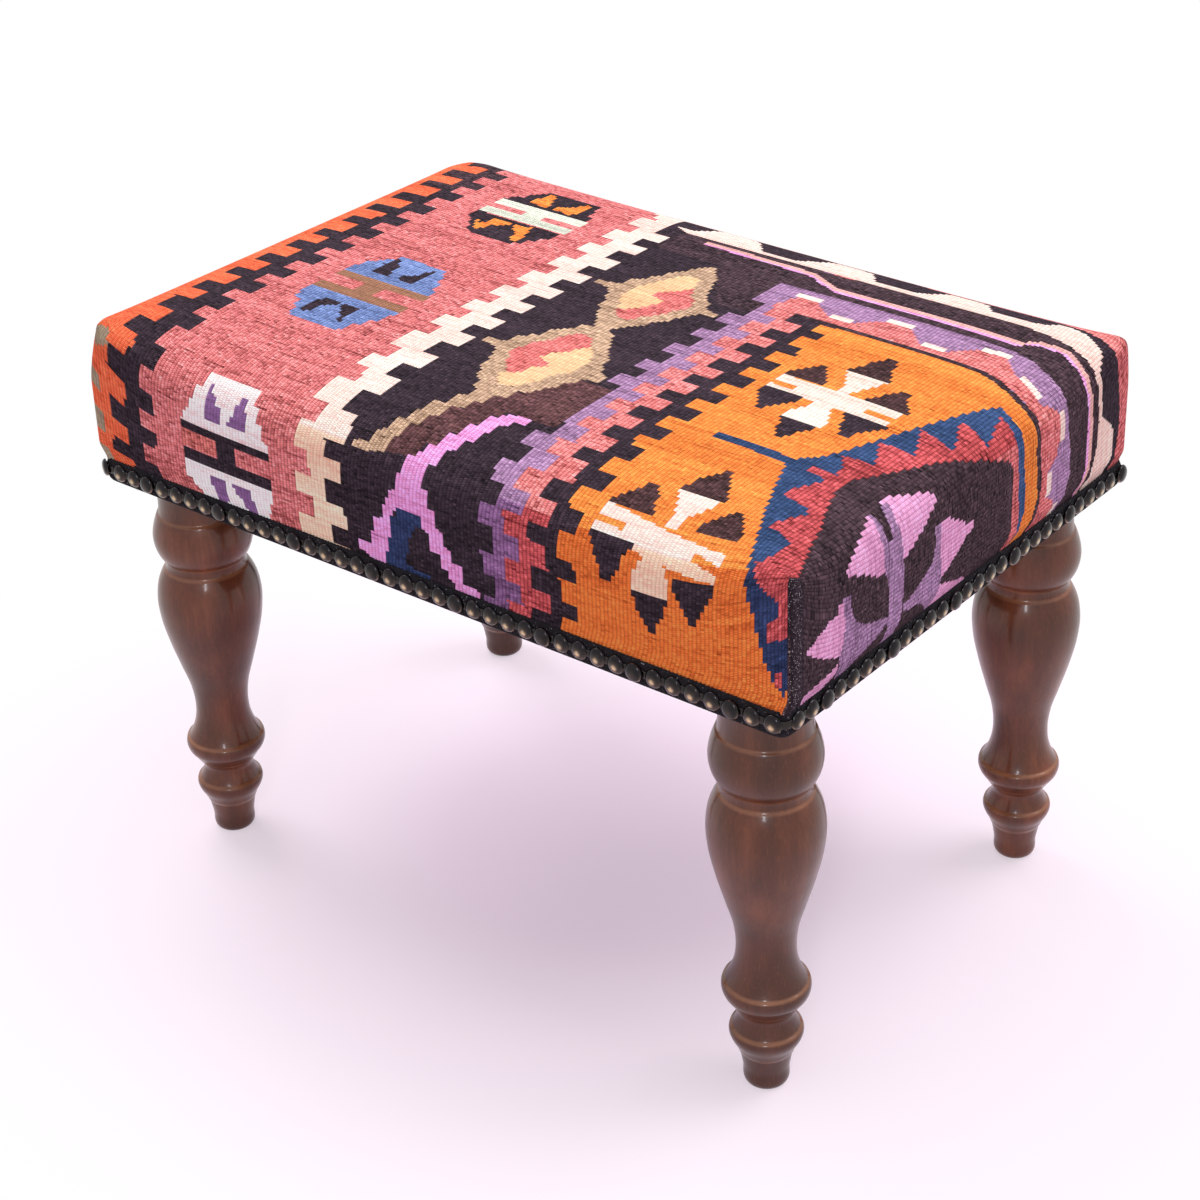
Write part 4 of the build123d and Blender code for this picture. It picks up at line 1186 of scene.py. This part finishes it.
up = np.array([0, 0, 1])
front_face = path + outward * thick[..., None] + up * rise[..., None]
back_high, back_low = path + up * rise[-1][:, None], path + up * BRAID_LOW
sheet = np.concatenate([front_face, back_high[None], back_low[None]])
index = np.arange(sheet.shape[0] * sheet.shape[1]).reshape(sheet.shape[:2])
braid_faces = grid_faces(index, wrap_rows=True, wrap_columns=True)
braid = make_mesh("gimp_braid", sheet.reshape(-1, 3), braid_faces)
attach(braid, "root")
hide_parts("braid_trim")
print("braid:", loops, "loops,", len(braid.data.polygons), "faces")

# %% The black of the braid
gimp = Finish("black_gimp")
lint = gimp.ramp(gimp.noise(gimp.place, 900, 1), (0.70, BLACK), (0.76, WHITE))
thread = gimp.noise(gimp.place, 1800, 2, 0.7)
black = gimp.ramp(thread, (0.35, srgb(16, 14, 17)), (0.75, srgb(48, 44, 50)))
black = gimp.mix(gimp.times(lint, 0.7), black, srgb(150, 146, 150))
gimp.feed(gimp.shader, Base_Color=black, Roughness=0.9, Specular_IOR_Level=0.1,
          Normal=gimp.bump(thread, 0.5, 0.0003))
dress(braid, gimp)
print("gimp:", len(gimp.tree.nodes), "nodes")

# %% [markdown]
# ## Stud strip
# The studs come as a pressed metal strip: low domes joined by a narrow lip. Every fifth place
# has a real nail with a rounder head, and the nails hold the strip. A dome is turned like a
# leg, with few faces because there are over a hundred, then set square to the border.

# %% Domes, lip and nails
STRIP_X, STRIP_Y, STRIP_CORNER = 225.45, 156.95, 13.95
STUD_LEVEL, STUD_COUNT, NAIL_EVERY = 236.8, 137, 5
FIRST_NAIL_X = -188.4
DOME_SEGMENTS, LIP_POINTS = 16, 560
RIM_RADIUS, RIM_WIDTH, SPOT_DROP = 4.6, 0.4, 1.2
strip_length = border_length(STRIP_X, STRIP_Y, STRIP_CORNER)
stud_step = strip_length / STUD_COUNT
strip_start = FIRST_NAIL_X + STRIP_X - STRIP_CORNER - NAIL_EVERY * stud_step
stud_numbers = np.arange(STUD_COUNT)
is_nail = stud_numbers % NAIL_EVERY == 0


def set_on_border(form, faces, numbers, sizes, turns, spot):
    """Copies of a turned form with its axis pointing outward at each of the numbered places, and
    how bright each point is made: a spot below the crown, part polished brass and part painted
    highlight, and a painted reflection on the lower rim."""
    path, outward = border_path(STRIP_X, STRIP_Y, STRIP_CORNER, strip_start + numbers * stud_step)
    tangent = np.cross(up, outward)
    path = path + up * STUD_LEVEL
    cos, sin = np.cos(turns)[:, None], np.sin(turns)[:, None]
    flat_x = (form[:, 0] * cos - form[:, 1] * sin) * sizes[:, None]
    flat_y = (form[:, 0] * sin + form[:, 1] * cos) * sizes[:, None]
    points = path[:, None] + tangent[:, None] * flat_x[..., None]
    points = points + outward[:, None] * form[None, :, 2:]
    points[..., 2] += flat_y
    steps = (np.arange(len(numbers)) * len(form))[:, None, None]
    near_rim = np.exp(-(((np.hypot(flat_x, flat_y) - RIM_RADIUS) / RIM_WIDTH) ** 2))
    # painted reflection: the lower part of each rim is made bright
    rim_reflection = near_rim * np.clip(0.3 - flat_y / 4, 0, 1)
    # the spot below the crown: polished brass and a painted highlight
    bright = np.exp(-(flat_x**2 + (flat_y + SPOT_DROP) ** 2) / 4.5)
    rubbed_and_highlight = spot * bright + 0.75 * rim_reflection
    return points.reshape(-1, 3), (faces[None] + steps).reshape(-1, 4), rubbed_and_highlight.ravel()


dome_outline = pairs("0,0 4.95,0 4.85,0.5 4.25,1.3 3.1,1.9 1.6,2.2 0,2.3")
dome, dome_faces = lathe(dome_outline, DOME_SEGMENTS)
numbers = stud_numbers[~is_nail]
sizes, turns = rng.normal(1, 0.012, len(numbers)), rng.random(len(numbers)) * 6
points, faces, rubbed_and_highlight = set_on_border(dome, dome_faces, numbers, sizes, turns, 0.95)
lip_along = np.linspace(0, strip_length, LIP_POINTS, endpoint=False)
lip_path, lip_outward = border_path(STRIP_X, STRIP_Y, STRIP_CORNER, lip_along)
lip_section = pairs("0,-2 0.35,-2 0.5,-1.7 0.5,1.7 0.35,2 0,2")
lip = lip_path[None] + lip_outward[None] * lip_section[:, :1, None]
lip[..., 2] += STUD_LEVEL + lip_section[:, 1:]
index = np.arange(lip.shape[0] * lip.shape[1]).reshape(lip.shape[:2])
lip_faces = grid_faces(index, wrap_rows=True, wrap_columns=True) + len(points)
points = np.concatenate([points, lip.reshape(-1, 3)])
strip = make_mesh("stud_strip", points, np.concatenate([faces, lip_faces]))
store(strip, "rubbed_and_highlight", "POINT", np.append(rubbed_and_highlight, np.full(lip.size // 3, 0.1)))
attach(strip, "root")
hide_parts("nail_strip")

nail_outline = pairs(
    "0,-12.4 0.6,-11 0.6,0.55 4.9,0.6 5.05,0.9 4.75,1.7 3.9,2.5 2.5,3.05 1.2,3.25 0,3.3")
nail, nail_faces = lathe(nail_outline, DOME_SEGMENTS)
numbers = stud_numbers[is_nail]
turns = rng.random(len(numbers)) * 6
sizes = np.ones(len(numbers))
points, faces, rubbed_and_highlight = set_on_border(nail, nail_faces, numbers, sizes, turns, 0.3)
nails = make_mesh("domed_nails", points, faces)
store(nails, "rubbed_and_highlight", "POINT", rubbed_and_highlight)
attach(nails, "root")
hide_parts("decorative_nails")
print("domes:", int((~is_nail).sum()), "nails:", len(numbers))

# %% The bronze of the studs
bronze = Finish("antique_bronze")
rubbed_and_highlight = bronze.attribute("rubbed_and_highlight")
patina = bronze.noise(bronze.place, 420, 3, 0.6)
# dark patina turns to brass at the marked polish, painted highlight and painted reflection
bright = bronze.times(patina, 0.25, bronze.math("SUBTRACT", rubbed_and_highlight, 0.12))
metal = bronze.ramp(
    bright, (0.0, srgb(34, 31, 34)), (0.42, srgb(78, 65, 60)), (0.9, srgb(216, 184, 148)))
bronze.feed(bronze.shader, Base_Color=metal, Metallic=1.0, Roughness=0.24, Coat_Weight=0.2,
            Coat_Roughness=0.05)
dress(strip, bronze)
dress(nails, bronze)
print("bronze:", len(bronze.tree.nodes), "nodes")

# %% [markdown]
# ## Dust cloth
# A thin black cloth closes the underside and keeps the dust in. It is stapled along its edge and
# cut round the four legs, and between its staples it sags a little. The grid drops the faces
# inside each hole and moves the points of the cut edge onto the circle.

# %% Dust cloth
DUST_X, DUST_Y, DUST_LEVEL, DUST_HOLE = 217.5, 149.0, 230.55, 25.0
SAG, PUCKER, PUCKER_REACH = 1.6, 0.12, 12
dust_x, dust_y = np.meshgrid(np.linspace(-DUST_X, DUST_X, 146), np.linspace(-DUST_Y, DUST_Y, 100))
from_leg_x, from_leg_y = np.abs(dust_x) - LEG_X, np.abs(dust_y) - LEG_Y
from_leg = np.hypot(from_leg_x, from_leg_y)
dust_faces = grid_faces(np.arange(dust_x.size).reshape(dust_x.shape))
dust_faces = dust_faces[from_leg.ravel()[dust_faces].mean(1) > DUST_HOLE]
by_hole = from_leg < DUST_HOLE + 1.5
stretch = np.where(by_hole, (DUST_HOLE - from_leg) / np.maximum(from_leg, 1), 0)
moved_x = dust_x + np.sign(dust_x) * from_leg_x * stretch
moved_y = dust_y + np.sign(dust_y) * from_leg_y * stretch
sag = SAG * np.clip(1 - (dust_x / DUST_X) ** 4, 0, 1) * np.clip(1 - (dust_y / DUST_Y) ** 4, 0, 1)
sag = sag * np.clip((from_leg - DUST_HOLE) / 25, 0, 1)
pucker = PUCKER * np.sin(dust_x / 6.0) * np.exp(-(DUST_Y - np.abs(dust_y)) / PUCKER_REACH)
dust_level = DUST_LEVEL - sag - np.abs(pucker)
dust_points = np.stack([moved_x, moved_y, dust_level], -1).reshape(-1, 3)
dust_points, dust_faces = used_points(dust_points, dust_faces)
dust_cloth = make_mesh("dust_cloth", dust_points, dust_faces[:, ::-1])
thickness = dust_cloth.modifiers.new("thickness", "SOLIDIFY")
thickness.thickness = 0.0004
thickness.offset = 1
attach(dust_cloth, "root")
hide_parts("dust_cover")
print("dust cloth:", len(dust_cloth.data.polygons), "faces")

# %% The black of the dust cloth
felt = Finish("black_dust_cloth")
fibre = felt.noise(felt.place, 1400, 3, 0.7)
black = felt.ramp(fibre, (0.3, srgb(20, 20, 22)), (0.8, srgb(46, 46, 50)))
felt.feed(felt.shader, Base_Color=black, Roughness=0.9, Normal=felt.bump(fibre, 0.3, 0.0002))
dress(dust_cloth, felt)
print("felt:", len(felt.tree.nodes), "nodes")

# %% [markdown]
# ## Hidden parts
# The frame, the deck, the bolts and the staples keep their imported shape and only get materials:
# pine with yearly rings, plywood with its layers, and plain zinc-plated steel.

# %% Pine, plywood and steel
pine = Finish("pine")
rings = pine.add("ShaderNodeTexWave", {"wave_type": "RINGS", "rings_direction": "X"},
                 Vector=pine.place, Scale=55, Distortion=5, Detail=2, Detail_Scale=1.2)
tone = pine.ramp(rings.outputs["Fac"], (0.1, srgb(222, 186, 134)), (0.9, srgb(188, 138, 86)))
pine.feed(pine.shader, Base_Color=tone, Roughness=0.65)

plywood = Finish("plywood")
layers = plywood.add("ShaderNodeTexWave", {"wave_type": "BANDS", "bands_direction": "Z"},
                     Vector=plywood.place, Scale=170, Distortion=0.4, Detail=1)
tone = plywood.ramp(layers.outputs["Fac"], (0.3, srgb(210, 176, 128)), (0.7, srgb(176, 136, 92)))
plywood.feed(plywood.shader, Base_Color=tone, Roughness=0.7)

steel = Finish("zinc_steel")
spangle = steel.noise(steel.place, 300, 2)
tone = steel.ramp(spangle, (0.3, srgb(160, 162, 166)), (0.7, srgb(196, 198, 202)))
steel.feed(steel.shader, Base_Color=tone, Metallic=1.0, Roughness=0.35)

hidden = {
    pine: """rail_front rail_rear rail_left rail_right frame_dowels corner_block_front_left
        corner_block_front_right corner_block_rear_left corner_block_rear_right""",
    plywood: "deck_panel",
    steel: "hanger_bolts tee_nuts corner_block_screws deck_screws hem_staples dust_cover_staples",
}
for finish, names in hidden.items():
    for thing in bpy.data.objects:
        if thing.type == "MESH" and thing.name.split(".")[0] in names.split():
            dress(thing, finish)
            print(thing.name, "in", finish.owner.name)

# %% [markdown]
# ## Floor, light and camera
# The stool stands on a pale, faintly pink floor that runs out into white. Two broad lamps hang
# above and behind it, so the top is the brightest face and the soft shadow falls towards the
# camera, and a narrow lamp to the right, like a window, puts the highlights on the turned legs.
# Only rays from the camera, off a mirror or through glass see the white of the floor and the sky
# at full strength. All other light comes at a plain level, so the white doesn't flood the stool.
# The camera is where the photograph was taken from, close and rather high, with a long lens.

# %% Floor
FLOOR_REACH, FLOOR_STEPS = 6000.0, 24
line = np.linspace(-FLOOR_REACH, FLOOR_REACH, FLOOR_STEPS + 1)
floor_x, floor_y = np.meshgrid(line, line)
floor_points = np.stack([floor_x, floor_y, np.zeros_like(floor_x)], -1).reshape(-1, 3)
floor_index = np.arange(floor_x.size).reshape(floor_x.shape)
floor = make_mesh("floor", floor_points, grid_faces(floor_index))
floor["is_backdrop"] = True

# near the stool the floor shows its own shaded colour plus faint painted light that lifts its
# shadows, and from half a metre out it glows white
paper = Finish("pale_floor")
from_middle = paper.add("ShaderNodeVectorMath", {"operation": "LENGTH"}, i0=paper.place)
far = paper.times(from_middle.outputs["Value"], 2.4, -0.24)
near_colour = paper.ramp(far, (0.0, srgb(219, 200, 215)), (1.0, BLACK))
# painted light near the stool: the floor glows faintly there, which lifts the stool's shadow; far
# out it is the white backdrop
backdrop_white_and_shadow_lift = paper.ramp(far, (0.0, srgb(141, 127, 138)), (1.0, WHITE))
seen = paper.seen()
base = paper.mix(seen, srgb(214, 200, 211), near_colour)
paper.feed(paper.shader, Base_Color=base, Emission_Color=backdrop_white_and_shadow_lift, Emission_Strength=seen,
           Roughness=0.9, Specular_IOR_Level=0.0)
dress(floor, paper)
print("floor:", len(floor.data.polygons), "faces")

# %% Lamps
def lamp(name, place, width, height, power, colour=(1, 1, 1)):
    """An area lamp that looks at the stool."""
    data = bpy.data.lights.new(name, "AREA")
    data.shape = "RECTANGLE"
    data.size, data.size_y, data.energy, data.color = width, height, power, colour
    thing = bpy.data.objects.new(name, data)
    thing.location = place
    thing.rotation_mode = "QUATERNION"
    thing.rotation_quaternion = (Vector((0, 0, 0.15)) - Vector(place)).to_track_quat("-Z", "Y")
    bpy.context.scene.collection.objects.link(thing)
    print(name, "lamp:", power, "W")


lamp("rear_right", (0.8, 1.0, 2.1), 1.3, 1.3, 27)
lamp("rear_left", (-1.4, 0.3, 2.1), 1.3, 1.3, 30)
lamp("window", (1.2, -1.8, 1.5), 0.2, 0.9, 12, (0.92, 0.94, 1.0))

# %% Sky
world = bpy.data.worlds.new("studio")
bpy.context.scene.world = world
sky = Finish("studio", world, "Background")
direction = sky.add("ShaderNodeTexCoord").outputs["Generated"]
upward = sky.add("ShaderNodeSeparateXYZ", Vector=direction).outputs["Z"]
brightness = sky.add("ShaderNodeMapRange", Value=upward, To_Min=0.5, To_Max=0.85).outputs[0]
strength = sky.add("ShaderNodeMix", Factor=sky.seen(), A=brightness, B=1.0).outputs[0]
sky.feed(sky.shader, Color=(1, 1, 1, 1), Strength=strength)
print("sky:", len(sky.tree.nodes), "nodes")

# %% Camera
lens = bpy.data.cameras.new("camera")
lens.sensor_width = 36.0
lens.lens = 76.54
lens.shift_y = -0.118
lens.clip_start, lens.clip_end = 0.05, 50
camera = bpy.data.objects.new("camera", lens)
# its axes point right, down and forward
right = (0.781526, 0.623141, -0.03021)
down = (0.256156, -0.364664, -0.895212)
forward = (-0.568859, 0.691893, -0.444616)
turn = Matrix(np.column_stack([right, np.negative(down), np.negative(forward)]).tolist()).to_4x4()
camera.matrix_world = Matrix.Translation((0.7727, -0.9451, 0.8482)) @ turn
bpy.context.scene.collection.objects.link(camera)
bpy.context.scene.camera = camera
bpy.context.scene.view_settings.view_transform = "Standard"
print("camera at", [round(v, 3) for v in camera.matrix_world.translation], "lens", lens.lens)

# %% Sizes and finish
low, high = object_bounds()
print("visual box:", [round(v, 4) for v in (*low, *high)])
